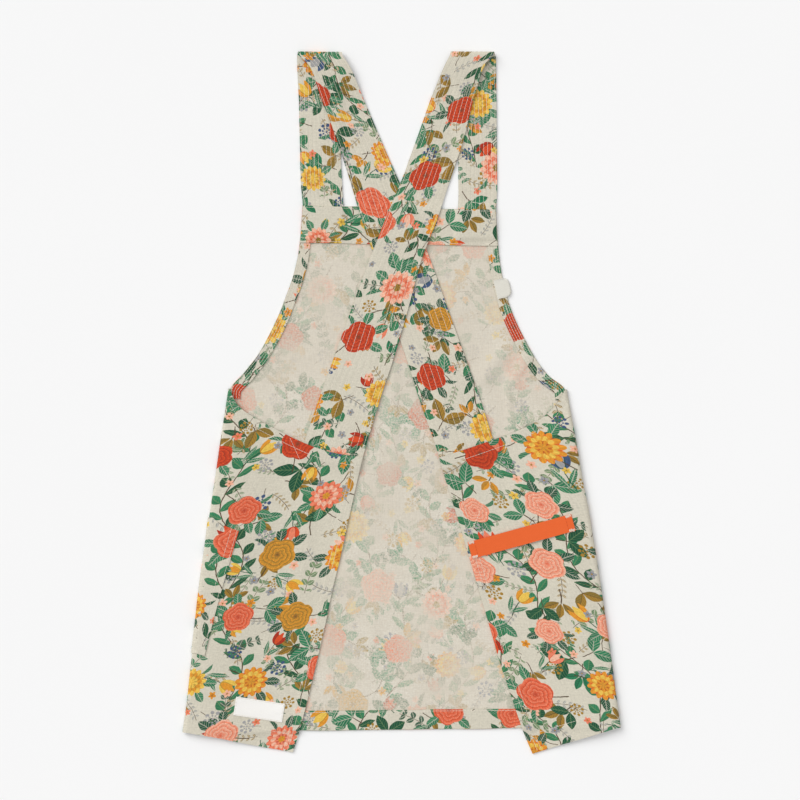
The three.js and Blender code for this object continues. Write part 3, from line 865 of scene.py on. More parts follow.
def whole_strap(front, back):
    """Joins a strap's two runs with the roll over the shoulder, and gives it its flat cut."""
    roll = rolled(front.points[-1], back.points[0], np.array([0, SHOULDER_ROLL]), SHOULDER_STEPS)
    points = np.concatenate([front.points, roll, back.points])
    along = lengths_along(points[:, len(STRAP_ACROSS) // 2])
    width = np.linalg.norm(points[:, -1] - points[:, 0], axis=1)
    flat = stacked(*np.broadcast_arrays((STRAP_ACROSS - 0.5) * width[:, None], along[:, None]))
    return Cloth(STRAP_ACROSS, along / along[-1], points, flat, strap_thickness(points.shape[:2]))


def flap_thickness(side, w, v):
    """Canvas turned under along a flap's open edges, and pulled thin at its sewn rows."""
    from_edge = to_open_edge(side, w, v)
    from_hem = v * BODY_LENGTH
    from_top = (1 - v) * BODY_LENGTH
    turned_edges = ((from_edge, EDGE_ROWS[-1]), (from_hem, HEM_DEPTH), (from_top, FLAP_TOP_ROW))
    turned = np.zeros_like(from_edge)
    for distance, depth in turned_edges:
        turned = np.maximum(turned, 1 - smoothstep(depth, depth + TURN_STEP, distance))
    thickness = lerp(CANVAS, TURNED_EDGE, turned)
    for distance, row in ((from_edge, EDGE_ROWS[0]), *turned_edges):
        thickness -= ROW_PULL * np.exp(-(((distance - row) / ROW_PULL_WIDTH) ** 2))
    return np.maximum(thickness, CANVAS * ROW_THINNEST)


def lay_flap(side):
    """A back flap, which comes down from its side fold on to the pile."""
    kind = FLAP_WRINKLES[side]
    w, v = np.meshgrid(FLAP_ACROSS, ALONG)
    x, y = drift(*flap_plan(side, w, v))
    x0, y0 = flap_plan(side, 0.0, v)
    from_fold = np.hypot(x - x0, y - y0)
    rest = pile.seat(x, y, TURNED_EDGE)
    fold_top = SIDE_FOLD_TOP * (1 + FOLD_WAVE * ripple(v, 0 * v, FOLD_WAVE_LENGTH, kind.seed + 9))
    loft = np.maximum(fold_top - rest, 0) * fold_share(v) * (1 - smoothstep(0, FLAP_SETTLE, from_fold))
    slack = smoothstep(0, SLACK_FROM, from_fold) * (1 - SLACK_TAKEN_UP * smoothstep(*SLACK_EDGE, w))
    edge_wave = EDGE_WAVE * np.clip(ripple(v, 0 * v, EDGE_WAVE_LENGTH, kind.seed + 8), 0, 1)
    z = rest + loft + wrinkles(x, y, kind) * slack + edge_wave * smoothstep(EDGE_WAVE_FROM, 1.0, w)
    return pile.lay(Cloth(FLAP_ACROSS, ALONG, stacked(x, y, z), None, flap_thickness(side, w, v)))


def whole_skirt(front, flaps):
    """The front, the two side folds and the two flaps as one sheet."""
    round_fold = np.pi * SIDE_FOLD_RADIUS
    turn = np.linspace(0, 1, FOLD_STEPS + 1)[1:-1]
    strips = {}
    for side in SIDES:
        outwards = -1 if side == "left" else 1
        flap = flaps[side]
        start = front.points[:, 0 if side == "left" else -1]
        bulge = stacked(outwards * SIDE_FOLD_RADIUS * fold_share(ALONG), 0 * ALONG)
        fold = rolled(start, flap.points[:, 0], bulge, FOLD_STEPS).swapaxes(0, 1)
        points = np.concatenate([fold, flap.points], axis=1)
        on_fold = np.broadcast_to(round_fold * turn, fold.shape[:2])
        on_flap = round_fold + np.abs(flap.points[..., 0] - flap.points[:, :1, 0])
        out = np.concatenate([on_fold, on_flap], axis=1)
        flat = stacked(start[:, :1] + outwards * out, points[..., 1])
        thickness = np.concatenate([np.full(fold.shape[:2], CANVAS), flap.thickness], axis=1)
        strips[side] = [grid[:, ::outwards] for grid in (points, flat, thickness)]
    middle = (front.points, front.flat, front.thickness)
    grids = zip(strips["left"], middle, strips["right"])
    points, flat, thickness = (np.concatenate(parts, axis=1) for parts in grids)
    return Cloth(np.linspace(0, 1, points.shape[1]), ALONG, points, flat, thickness)


def whole_pocket(hidden):
    """The pocket: under the front, round the left fold and on the left flap."""
    v = hidden.along
    share = np.linspace(0, 1, POCKET_BACK_STEPS)
    x0, _ = flap_plan("left", 0.0, v)
    x1, _ = flap_plan("left", 1.0, v)
    width = pocket_back_width(np.linspace(0, 1, len(v)))
    x, y = drift(*flap_plan("left", (width / (x1 - x0))[:, None] * share, v[:, None]))
    on_flap = stacked(x, y, pile.seat(x, y, CANVAS, POCKET_PASSES) + POCKET_PROUD)
    bulge = np.array([-(SIDE_FOLD_RADIUS + CANVAS + 2 * LAYER_GAP), 0])
    fold = rolled(hidden.points[:, 0], on_flap[:, 0], bulge, FOLD_STEPS).swapaxes(0, 1)
    points = np.concatenate([on_flap[:, ::-1], fold[:, ::-1], hidden.points], axis=1)
    across = lengths_along(points[len(v) // 2])
    flat = stacked(np.broadcast_to(across, points.shape[:2]), points[..., 1])
    shown = pile.lay(Cloth(share, v, on_flap, None, CANVAS))
    return Cloth(across / across[-1], v, points, flat, CANVAS), shown


def lay_tape(tape, thickness):
    """A straight tape that lies on the pile and bows up between its ends."""
    u, t = np.meshgrid(steps(tape.length, TAPE_CELL), steps(tape.height, TAPE_CELL))
    along = (u - 0.5) * tape.length
    across = (t - 0.5) * tape.height
    x = tape.x + along * math.cos(tape.turn) - across * math.sin(tape.turn)
    y = tape.y + along * math.sin(tape.turn) + across * math.cos(tape.turn)
    z = pile.seat(x, y, thickness, TAPE_PASSES) + tape.bow * np.sin(np.pi * u) ** 2
    return Cloth(u[0], t[:, 0], stacked(x, y, z), stacked(along, across), thickness)


def fold_tab():
    """A short tape on the binding, folded under just outside the armhole edge."""
    edge_x, edge_y = edge(BINDING_EDGE, "right", np.array(TAB_AT))
    out_x, out_y = armhole_outwards("right", np.array(TAB_AT))
    low_z = RIBBON / 2 + TAB_CLEARANCE
    radius = (TAB_TOP - low_z) / 2
    turn_at = TAB_OUTSIDE - radius
    upper = np.linspace(-TAB_INSIDE, turn_at, TAB_STEPS)
    angle = np.linspace(0, np.pi, TAB_TURN_STEPS)[1:-1]
    lower = np.linspace(turn_at, TAB_UNDER_END, TAB_UNDER_STEPS)
    out = np.concatenate([upper, turn_at + radius * np.sin(angle), lower])
    turn_z = (TAB_TOP + low_z) / 2 + radius * np.cos(angle)
    z = np.concatenate([np.full(len(upper), TAB_TOP), turn_z, np.full(len(lower), low_z)])
    along = running_total(np.hypot(np.diff(out), np.diff(z)))
    run = np.linspace(-0.5, 0.5, TAB_STEPS) * TAB_WIDTH
    o, r = np.meshgrid(out, run)
    past_corner = np.clip(np.abs(r) - (TAB_WIDTH / 2 - TAB_CORNER), 0, TAB_CORNER)
    rounded = TAB_CORNER - np.sqrt(TAB_CORNER**2 - past_corner**2)
    o = o - rounded * (o + TAB_INSIDE) / (TAB_OUTSIDE + TAB_INSIDE)
    x = edge_x + out_x * o - out_y * r
    y = edge_y + out_y * o + out_x * r
    points = stacked(x, y, np.broadcast_to(z, o.shape))
    flat = stacked(np.broadcast_to(along, o.shape), r)
    return Cloth(along / along[-1], run / TAB_WIDTH + 0.5, points, flat, RIBBON)


# Meshes


def add_object(name, mesh):
    obj = bpy.data.objects.new(name, mesh)
    bpy.context.scene.collection.objects.link(obj)
    return obj


def merge_doubles(mesh):
    work = bmesh.new()
    work.from_mesh(mesh)
    bmesh.ops.remove_doubles(work, verts=work.verts, dist=MERGE_DISTANCE)
    work.to_mesh(mesh)
    work.free()


def thicken(obj, wall, inner_materials):
    """Gives a sheet its wall, whose thickness is known at each point."""
    thickest = float(wall.max())
    share = np.round(wall / thickest, 3)
    group = obj.vertex_groups.new(name="thickness")
    for value in np.unique(share):
        group.add(np.nonzero(share == value)[0].tolist(), float(value), "REPLACE")
    merge_doubles(obj.data)
    bpy.ops.object.select_all(action="DESELECT")
    obj.select_set(True)
    bpy.context.view_layer.objects.active = obj
    solid = obj.modifiers.new("wall", "SOLIDIFY")
    solid.thickness = thickest
    solid.offset = 0.0
    solid.vertex_group = group.name
    solid.material_offset = inner_materials
    solid.material_offset_rim = inner_materials
    bpy.ops.object.modifier_apply(modifier=solid.name)
    bpy.ops.object.shade_smooth_by_angle(angle=SMOOTH_ANGLE)
    obj.vertex_groups.clear()


def make_sheet(name, cloths, materials, shift):
    """A closed sheet from one or more grids that share an edge. shift moves its place in the print."""
    faces = []
    count = 0
    for cloth in cloths:
        rows, columns = cloth.points.shape[:2]
        index = count + np.arange(rows * columns).reshape(rows, columns)
        quads = np.stack([index[:-1, :-1], index[:-1, 1:], index[1:, 1:], index[1:, :-1]], axis=-1)
        faces.append(quads.reshape(-1, 4))
        count += rows * columns
    faces = np.concatenate(faces)
    points = np.concatenate([cloth.points.reshape(-1, 3) for cloth in cloths])
    flat = np.concatenate([cloth.flat.reshape(-1, 2) for cloth in cloths]) + shift
    mesh = bpy.data.meshes.new(name)
    mesh.from_pydata(points, [], faces)
    layer = mesh.uv_layers.new(name=FLAT_CUT)
    layer.data.foreach_set("uv", flat[faces.ravel()].ravel())
    for material in materials:
        mesh.materials.append(material)
    sheet = add_object(name, mesh)
    thicken(sheet, np.concatenate([np.ravel(cloth.thickness) for cloth in cloths]), len(materials) - 1)
    return sheet


def make_stitches(name, rows, thread):
    """One mesh of all the stitches of a group of rows, each a small grain of thread."""
    bpy.ops.object.select_all(action="DESELECT")
    bpy.ops.mesh.primitive_ico_sphere_add(subdivisions=1, radius=0.5)
    grain = bpy.context.object
    shape = np.array([v.co for v in grain.data.vertices])
    shape[:, 2] = np.sign(shape[:, 2]) * np.abs(2 * shape[:, 2]) ** STITCH_BLUNT / 2
    triangles = np.array([p.vertices[:] for p in grain.data.polygons])
    bpy.data.objects.remove(grain)
    middle, run, normal = (np.concatenate(parts) for parts in zip(*rows))
    run = run / np.linalg.norm(run, axis=1, keepdims=True)
    side = np.cross(normal, run)
    side /= np.linalg.norm(side, axis=1, keepdims=True)
    up = np.cross(run, side)
    points = (
        middle[:, None]
        + shape[None, :, :1] * side[:, None] * STITCH_WIDTH
        + shape[None, :, 1:2] * up[:, None] * STITCH_HEIGHT
        + shape[None, :, 2:] * run[:, None] * STITCH_LENGTH
    )
    faces = triangles[None] + (np.arange(len(middle)) * len(shape))[:, None, None]
    mesh = bpy.data.meshes.new(name)
    mesh.from_pydata(points.reshape(-1, 3), [], faces.reshape(-1, 3))
    mesh.materials.append(thread)
    mesh.polygons.foreach_set("use_smooth", [True] * len(mesh.polygons))
    return add_object(name, mesh)


# Sewing


FINE = np.linspace(0, 1, ROW_POINTS)
stitch_start = np.random.default_rng(STITCH_SEED)


def sew(cloth, across, along, side=1):
    """Middles, directions and normals of the stitches in a row across and along one face of a sheet."""
    across, along = np.broadcast_arrays(np.asarray(across, float), np.asarray(along, float))
    points, normals = cloth.face(across, along, side)
    length = lengths_along(points)
    count = max(1, int(length[-1] / STITCH_PITCH))
    at = (np.arange(count) + stitch_start.uniform(*FIRST_STITCH)) * length[-1] / count
    half = STITCH_LENGTH / 2

    def placed(values, place):
        return stacked(*(np.interp(place, length, values[:, i]) for i in range(3)))

    run = placed(points, at + half) - placed(points, at - half)
    return placed(points, at), run, placed(normals, at)


def from_both_ends(inset, length):
    """The shares of a length at which two rows lie, one inset from each end."""
    return inset / length, (length - inset) / length


def sew_straps(strap_fronts, straps):
    """Rows that quilt the straps, on the front run and then over the shoulder and down the back."""
    rows = []
    for side in SIDES:
        over_from = straps[side].along[len(strap_fronts[side].along)]
        for t in np.linspace(STRAP_MARGIN, 1 - STRAP_MARGIN, STRAP_ROWS):
            rows.append(sew(strap_fronts[side], t, FINE))
            rows.append(sew(straps[side], t, lerp(over_from, 1.0, FINE), -1))
    return rows


def sew_bands(bindings, hem, facing):
    """Rows along the bindings, the hem and the facing."""
    rows = []
    for side in SIDES:
        for row in BINDING_ROWS:
            t = row / BINDING_WIDTH
            rows.append(sew(bindings[side], t if side == "left" else 1 - t, bindings[side].part_way(FINE)))
    rows.append(sew(hem, FINE, hem.part_way(1 - BAND_ROW / HEM_DEPTH)))
    for share in from_both_ends(BAND_ROW, FACING_DEPTH):
        rows.append(sew(facing, FINE, facing.part_way(share)))
    return rows


def sew_flaps(flaps):
    """Rows beside the open edges, above the hem, under the top edges, and down from the top edges."""
    rows = []
    for side in SIDES:
        flap = flaps[side]
        up = flap.upper_side()
        v = lerp(*EDGE_ROW_ENDS, FINE)
        width = to_open_edge(side, 0.0, v)
        for row in EDGE_ROWS:
            rows.append(sew(flap, 1 - row / width, v, up))
        rows.append(sew(flap, FINE * HEM_ROW_END, HEM_DEPTH / BODY_LENGTH, up))
        rows.append(sew(flap, FINE * TOP_ROW_END, 1 - FLAP_TOP_ROW / BODY_LENGTH, up))
        at = np.arange(len(PANEL_ROWS[side]))
        x, y = (smooth_curve(at, values, FINE * at[-1]) for values in zip(*PANEL_ROWS[side]))
        rows.append(sew(flap, *flap_place(side, x, y), up))
    return rows


def sew_pocket(pocket_shown):
    """Rows beside the pocket's rear edge."""
    rows = []
    for row in POCKET_ROWS:
        across = np.clip(1 - row / pocket_back_width(FINE), 0, 1)
        rows.append(sew(pocket_shown, across, pocket_shown.part_way(FINE), pocket_shown.upper_side()))
    return rows


def sew_label(label):
    """A row round the label, just inside its edge."""
    rows = []
    for share in from_both_ends(LABEL_ROW, LABEL.height):
        rows.append(sew(label, lerp(*LABEL_ROW_ENDS, FINE), share))
    for share in from_both_ends(LABEL_END_ROW, LABEL.length):
        rows.append(sew(label, share, lerp(*LABEL_END_ROW_ENDS, FINE)))
    return rows


def tack_loop(loop):
    """Four small bars of close stitches, one at each corner of the loop."""
    rows = []
    for end in from_both_ends(TACK_FROM_END, LOOP.length):
        for rim in from_both_ends(TACK_FROM_RIM, LOOP.height):
            for i in range(TACK_STITCHES):
                u = end + (i - TACK_STITCHES // 2) * TACK_PITCH / LOOP.length
                t = rim + np.linspace(-TACK_REACH, TACK_REACH, TACK_POINTS) / LOOP.height
                rows.append(sew(loop, u, t))
    return rows


def sew_loop(loop):
    """A row across each end of the loop."""
    return [sew(loop, end, lerp(*LOOP_ROW_ENDS, FINE)) for end in from_both_ends(LOOP_ROW, LOOP.length)]


# Shader nodes


class Shader:
    """Short names for the nodes of one material or group."""

    def __init__(self, tree):
        self.tree = tree

    def node(self, kind, inputs, **settings):
        node = self.tree.nodes.new(kind)
        for key, value in settings.items():
            setattr(node, key, value)
        for key, value in inputs.items():
            if isinstance(value, bpy.types.NodeSocket):
                self.tree.links.new(value, node.inputs[key])
            else:
                node.inputs[key].default_value = value
        return node

    def math(self, operation, a, b=0.0, c=0.0, clamp=False):
        inputs = {0: a, 1: b, 2: c}
        return self.node("ShaderNodeMath", inputs, operation=operation, use_clamp=clamp).outputs[0]

    def plus(self, a, b):
        return self.math("ADD", a, b)

    def minus(self, a, b):
        return self.math("SUBTRACT", a, b)

    def divided(self, a, b):
        return self.math("DIVIDE", a, b)

    def scaled(self, a, share, added=0.0, clamp=False):
        return self.math("MULTIPLY_ADD", a, share, added, clamp)

    def above(self, a, limit):
        return self.math("GREATER_THAN", a, limit)

    def below(self, a, limit):
        return self.math("LESS_THAN", a, limit)

    def sine(self, a):
        return self.math("SINE", a)

    def cosine(self, a):
        return self.math("COSINE", a)

    def size(self, a):
        return self.math("ABSOLUTE", a)

    def nearest(self, a, step):
        """The number of the nearest of even steps."""
        return self.math("ROUND", self.divided(a, step))

    def product(self, first, *others):
        for other in others:
            first = self.math("MULTIPLY", first, other)
        return first

    def either(self, first, *others):
        for other in others:
            first = self.math("MAXIMUM", first, other)
        return first

    def vector(self, operation, a, b=(0, 0, 0), c=(0, 0, 0)):
        return self.node("ShaderNodeVectorMath", {0: a, 1: b, 2: c}, operation=operation).outputs[0]

    def length(self, a):
        return self.node("ShaderNodeVectorMath", {0: a}, operation="LENGTH").outputs["Value"]

    def parts(self, vector):
        return self.node("ShaderNodeSeparateXYZ", {0: vector}).outputs[:]

    def joined(self, x, y, z=0.0):
        return self.node("ShaderNodeCombineXYZ", {0: x, 1: y, 2: z}).outputs[0]

    def turned(self, vector, angle):
        inputs = {"Vector": vector, "Angle": angle}
        return self.node("ShaderNodeVectorRotate", inputs, rotation_type="Z_AXIS").outputs[0]

    def noise(self, place, scale, detail, output=0, **settings):
        inputs = {"Vector": place, "Scale": scale, "Detail": detail}
        return self.node("ShaderNodeTexNoise", inputs, **settings).outputs[output]

    def chances(self, cell, output="Color"):
        """Three numbers from 0 to 1, or with output Value just one, that belong to a cell."""
        return self.node("ShaderNodeTexWhiteNoise", {"Vector": cell}, noise_dimensions="3D").outputs[output]

    def mix(self, share, a, b, blend="MIX"):
        inputs = {0: share, 6: a, 7: b}
        return self.node("ShaderNodeMix", inputs, data_type="RGBA", blend_type=blend).outputs[2]

    def shaded(self, colour, shade):
        """A colour made darker or lighter by a number."""
        return self.mix(1.0, colour, self.joined(shade, shade, shade), "MULTIPLY")

    def pick(self, chance, colours):
        """One of several colours, by a chance from 0 to 1."""
        node = self.node("ShaderNodeValToRGB", {0: chance})
        ramp = node.color_ramp
        ramp.interpolation = "CONSTANT"
        ramp.elements[0].color = colours[0]
        ramp.elements[1].position = 1 / len(colours)
        ramp.elements[1].color = colours[1]
        for i in range(2, len(colours)):
            ramp.elements.new(i / len(colours)).color = colours[i]
        return node.outputs[0]

    def inside(self, value, limit, soft=PRINT_EDGE):
        """1 where a value is under a limit, with a soft printed edge."""
        if isinstance(limit, bpy.types.NodeSocket):
            return self.scaled(self.minus(limit, value), 1 / soft, clamp=True)
        return self.scaled(value, -1 / soft, limit / soft, clamp=True)

    def oval(self, x, y, half_width, half_height):
        """Distance from the middle of an oval, which is 1 on its rim."""
        return self.length(self.joined(self.divided(x, half_width), self.divided(y, half_height)))

    def leaf(self, u, v, length, half_width):
        """The print of one pointed leaf, u along it from its stalk and v across it."""
        t = self.divided(u, length)
        bulge = self.product(t, self.minus(1.0, t))
        return self.inside(self.size(v), self.product(bulge, 4 * half_width))

    def aimed(self, x, y, lean):
        """Lengths along and across a line that leans from +Y towards +X."""
        along = self.scaled(x, math.sin(lean), self.product(y, math.cos(lean)))
        across = self.scaled(x, math.cos(lean), self.product(y, -math.sin(lean)))
        return along, across

    def veined(self, colour, along, across, spacing, vein=CREAM):
        """A leaf colour that is darker on one side of the midrib, with a fine midrib and side veins."""
        shade = self.product(self.above(across, 0.0), LEAF_SHADE)
        slanted = self.scaled(self.size(across), -VEIN_SLANT, along)
        between = self.math("FRACT", self.divided(slanted, spacing))
        veins = self.product(self.inside(between, VEIN_SHARE, VEIN_EDGE), VEIN_STRENGTH)
        midrib = self.product(self.inside(self.size(across), MIDRIB, MIDRIB_EDGE), MIDRIB_STRENGTH)
        return self.mix(self.either(veins, midrib), self.mix(shade, colour, DEEP_GREEN), vein)

    def painted(self, colour, angle, radius):
        """A petal colour with brush strokes that run out from the middle."""
        strokes = self.joined(self.product(angle, STROKES_ROUND), self.product(radius, STROKES_OUT))
        noise = self.noise(strokes, STROKE_SCALE, detail=3.0)
        return self.shaded(colour, self.scaled(noise, 2 * STROKE_STRENGTH, 1 - STROKE_STRENGTH))


# Flower print
# s is the shader that draws it, m a motif, and under the colour that the motif is drawn over.


Motif = namedtuple("Motif", "x y radius angle colour_chance presence shown")


def scatter(s, place, pitch, turn, wander, seed, kept):
    """Motifs on turned brick rows, each moved, sized and turned by chance. kept is the share printed."""
    start = (seed * SEED_SHIFT[0], seed * SEED_SHIFT[1], 0)
    x, y, _ = s.parts(s.vector("MULTIPLY_ADD", s.turned(place, turn), (1 / pitch,) * 3, start))
    odd = s.math("FLOORED_MODULO", s.math("FLOOR", y), 2.0)
    brick = s.joined(s.scaled(odd, 0.5, x), y, seed + 0.5)
    cell = s.vector("FLOOR", brick)
    first = s.chances(cell)
    spin, colour_chance, presence = s.parts(s.chances(s.vector("ADD", cell, SECOND_DRAW)))
    from_middle = s.vector("SUBTRACT", s.vector("SUBTRACT", brick, cell), (0.5, 0.5, 0.5))
    moved = s.vector("MULTIPLY_ADD", first, (-wander, -wander, 0), (wander / 2, wander / 2, 0))
    flat = s.vector("MULTIPLY", s.vector("ADD", from_middle, moved), (pitch, pitch, 0))
    shrink = s.scaled(s.parts(first)[2], SHRINK_RANGE, SHRINK_LEAST)
    sized = s.vector("MULTIPLY", flat, s.joined(shrink, shrink, shrink))
    local = s.turned(sized, s.product(spin, 2 * math.pi))
    x, y, _ = s.parts(local)
    angle = s.math("ARCTAN2", y, x)
    return Motif(x, y, s.length(local), angle, colour_chance, presence, s.below(presence, kept))


def spokes(s, m, count, start=0.0):
    """Lengths along and across the nearest of so many spokes of a motif."""
    step = 2 * math.pi / count
    angle = s.minus(m.angle, start)
    aside = s.scaled(s.nearest(angle, step), -step, angle)
    return s.product(m.radius, s.cosine(aside)), s.product(m.radius, s.sine(aside))


def petals(s, angle, count, phase):
    """A wave round a motif: 1 along the middle of each petal, 0 between two."""
    return s.size(s.sine(s.scaled(angle, count / 2, phase)))


def bent_stem(s, m, bend):
    """Distance from a motif's stem, which bends away from a straight line."""
    return s.size(s.scaled(s.product(m.y, m.y), bend, m.x))


def print_vines(s, place, under):
    """Long stems that sway down the cloth, with leaves on either side in turn."""
    pitch = 0.082
    sway = 0.014
    sway_rate = 42.0
    joint = 0.0220
    leaf_foot = joint * 0.45
    stem_half = 0.0009
    stretch = 0.13
    kept = 0.85
    sway_seed, kept_seed, leaf_seed = VINE_SEEDS
    x, y, _ = s.parts(s.turned(place, angle=0.24))
    column = s.nearest(x, pitch)
    phase_chance = s.chances(s.joined(column, 0.0, sway_seed), "Value")
    phase = s.scaled(phase_chance, 2 * math.pi, s.product(y, sway_rate))
    aside = s.minus(x, s.scaled(s.sine(phase), sway, s.product(column, pitch)))
    right = s.above(aside, 0.0)
    climb = s.scaled(right, joint / 2, y)
    number = s.nearest(climb, joint)
    out = s.size(aside)
    along, across = s.aimed(out, s.plus(s.scaled(number, -joint, climb), leaf_foot), lean=0.86)
    length_number = s.math("FLOOR", s.divided(y, stretch))
    shown = s.below(s.chances(s.joined(column, length_number, kept_seed), "Value"), kept)
    leaves = s.product(s.leaf(along, across, length=0.0215, half_width=0.0052), shown)
    stem = s.product(s.inside(out, stem_half), shown)
    leaf_chance = s.chances(s.joined(column, s.scaled(right, 0.5, number), leaf_seed), "Value")
    green = s.pick(leaf_chance, [EMERALD, EMERALD, DEEP_GREEN])
    veined = s.veined(green, along, across, spacing=0.0036, vein=SAGE)
    return s.mix(leaves, s.mix(stem, under, BROWN), veined)


def print_sprigs(s, place, under, sprig):
    """Sprigs of paired leaves on a bent stem."""
    m = scatter(s, place, sprig.pitch, sprig.turn, wander=0.14, seed=sprig.seed, kept=sprig.kept)
    gap = sprig.leaf * (0.75 + sprig.plump)
    leaf_foot = gap * 0.42
    stem_half = 0.0005
    stem_length = sprig.half_length + 0.003
    near = s.scaled(s.nearest(m.y, gap), -gap, m.y)
    out = bent_stem(s, m, bend=6.0)
    along, across = s.aimed(out, s.plus(near, leaf_foot), lean=0.83)
    tall = s.size(m.y)
    blade = s.leaf(along, across, sprig.leaf, sprig.leaf * sprig.plump)
    leaves = s.product(blade, s.inside(tall, sprig.half_length), m.shown)
    stem = s.product(s.inside(out, stem_half), s.inside(tall, stem_length), m.shown)
    colour = s.pick(m.colour_chance, sprig.colours)
    return s.mix(leaves, s.mix(stem, under, BROWN), s.veined(colour, along, across, spacing=0.0024))


def print_sprays(s, place, under):
    """Sprays of three pointed leaves on a bent stalk."""
    m = scatter(s, place, pitch=0.058, turn=0.95, wander=0.16, seed=19, kept=0.72)
    stalk_length = 0.016
    stalk_half = 0.0008
    leaf_start = 0.002
    upper_from = 0.24
    out, across = spokes(s, m, count=7, start=math.pi / 2)
    along = s.minus(out, leaf_start)
    upper = s.above(m.y, s.product(m.radius, upper_from))
    leaves = s.product(s.leaf(along, across, length=0.0195, half_width=0.0044), upper, m.shown)
    lower = s.product(s.below(m.y, leaf_start), s.inside(m.radius, stalk_length), m.shown)
    stalk = s.product(s.inside(bent_stem(s, m, bend=14.0), stalk_half), lower)
    colour = s.pick(m.colour_chance, [OCHRE, OCHRE, GOLD, EMERALD])
    vein = s.pick(m.colour_chance, [BROWN, BROWN, OCHRE, DEEP_GREEN])
    veined = s.veined(colour, along, across, spacing=0.0032, vein=vein)
    return s.mix(leaves, s.mix(stalk, under, BROWN), veined)


def print_leaf_pairs(s, place, under):
    """Pairs of broad leaves, with veins paler or darker than the leaf."""
    m = scatter(s, place, pitch=0.062, turn=0.35, wander=0.12, seed=3, kept=0.70)
    stalk_reach = 0.008
    stalk_half = 0.0007
    leaf_foot = 0.010
    out = s.size(m.x)
    along, across = s.aimed(out, s.plus(m.y, leaf_foot), lean=0.80)
    blade = s.product(s.leaf(along, across, length=0.0270, half_width=0.0072), m.shown)
    colour = s.pick(m.colour_chance, [DEEP_GREEN, EMERALD, OCHRE, DEEP_GREEN, EMERALD])
    vein = s.pick(m.colour_chance, [SAGE, CREAM, BROWN, SAGE, CREAM])
    from_stalk = s.size(s.plus(m.y, 2 * stalk_reach))
    stalk = s.product(s.inside(out, stalk_half), s.inside(from_stalk, stalk_reach), m.shown)
    veined = s.veined(colour, along, across, spacing=0.0042, vein=vein)
    return s.mix(blade, s.mix(stalk, under, BROWN), veined)


def print_umbels(s, place, under):
    """Round heads of berries on thin spokes."""
    m = scatter(s, place, pitch=0.050, turn=0.82, wander=0.3, seed=5, kept=0.62)
    outer_ring = 0.0080
    outer_berry = 0.0022
    inner_ring = 0.0042
    inner_berry = 0.0013
    middle_berry = 0.0015
    stalk_length = 0.0075
    stalk_half = 0.0003
    tail_length = 0.018
    tail_half = 0.0005
    out, side = spokes(s, m, count=8)
    outer = s.inside(s.length(s.joined(s.minus(out, outer_ring), side)), outer_berry)
    inner = s.inside(s.length(s.joined(s.minus(out, inner_ring), side)), inner_berry)
    dots = s.either(outer, inner, s.inside(m.radius, middle_berry))
    stalks = s.product(s.inside(s.size(side), stalk_half), s.inside(m.radius, stalk_length))
    tail = s.product(s.inside(s.size(m.x), tail_half), s.below(m.y, 0.0), s.inside(m.radius, tail_length))
    colour = s.pick(m.colour_chance, [GREY, OCHRE, GREY, DUSK_BLUE, OCHRE])
    with_stems = s.mix(s.product(s.either(stalks, tail), m.shown), under, BROWN)
    return s.mix(s.product(dots, m.shown), with_stems, colour)


def print_tulips(s, place, under):
    """Tulips seen from the side, each with two long leaves."""
    m = scatter(s, place, pitch=0.070, turn=-0.35, wander=0.12, seed=13, kept=0.72)
    head_middle = 0.009
    head_top = 0.0056
    point_pitch = 0.0082
    point_height = 0.0032
    outline = 1.12
    outline_strength = 0.8
    brush = 160.0
    stem_length = 0.027
    stem_half = 0.0007
    leaf_foot = 0.025
    up = s.minus(m.y, head_middle)
    points = s.cosine(s.product(m.x, 2 * math.pi / point_pitch))
    below_points = s.inside(up, s.scaled(points, point_height, head_top))
    cup = s.oval(m.x, up, half_width=0.0098, half_height=0.0128)
    bloom = s.product(s.inside(cup, 1.0, soft=0.05), below_points, m.shown)
    heart = s.oval(m.x, up, half_width=0.0046, half_height=0.0122)
    middle = s.inside(heart, 1.0, soft=0.10)
    line = s.product(s.inside(heart, outline, soft=0.05), s.minus(1.0, middle))
    lower = s.product(s.below(m.y, 0.0), s.above(m.y, -stem_length), m.shown)
    stem = s.product(s.inside(bent_stem(s, m, bend=7.0), stem_half), lower)
    along, across = s.aimed(s.size(m.x), s.plus(m.y, leaf_foot), lean=0.45)
    leaves = s.product(s.leaf(along, across, length=0.0265, half_width=0.0029), m.shown)
    petal = s.pick(m.colour_chance, [ORANGE_RED, GOLD, CORAL, DUSK_BLUE, YELLOW, BRICK, GOLD])
    front = s.pick(m.colour_chance, [CORAL, YELLOW, BLUSH, GREY, GOLD, ORANGE_RED, YELLOW])
    deep = s.pick(m.colour_chance, [BRICK, ORANGE_RED, ORANGE_RED, DEEP_GREEN, OCHRE, BROWN, OCHRE])
    colour = s.mix(stem, s.mix(leaves, under, s.veined(EMERALD, along, across, spacing=0.0030)), DEEP_GREEN)
    brushed = s.painted(s.mix(middle, petal, front), s.product(m.x, brush), up)
    return s.mix(bloom, colour, s.mix(s.product(line, outline_strength), brushed, deep))


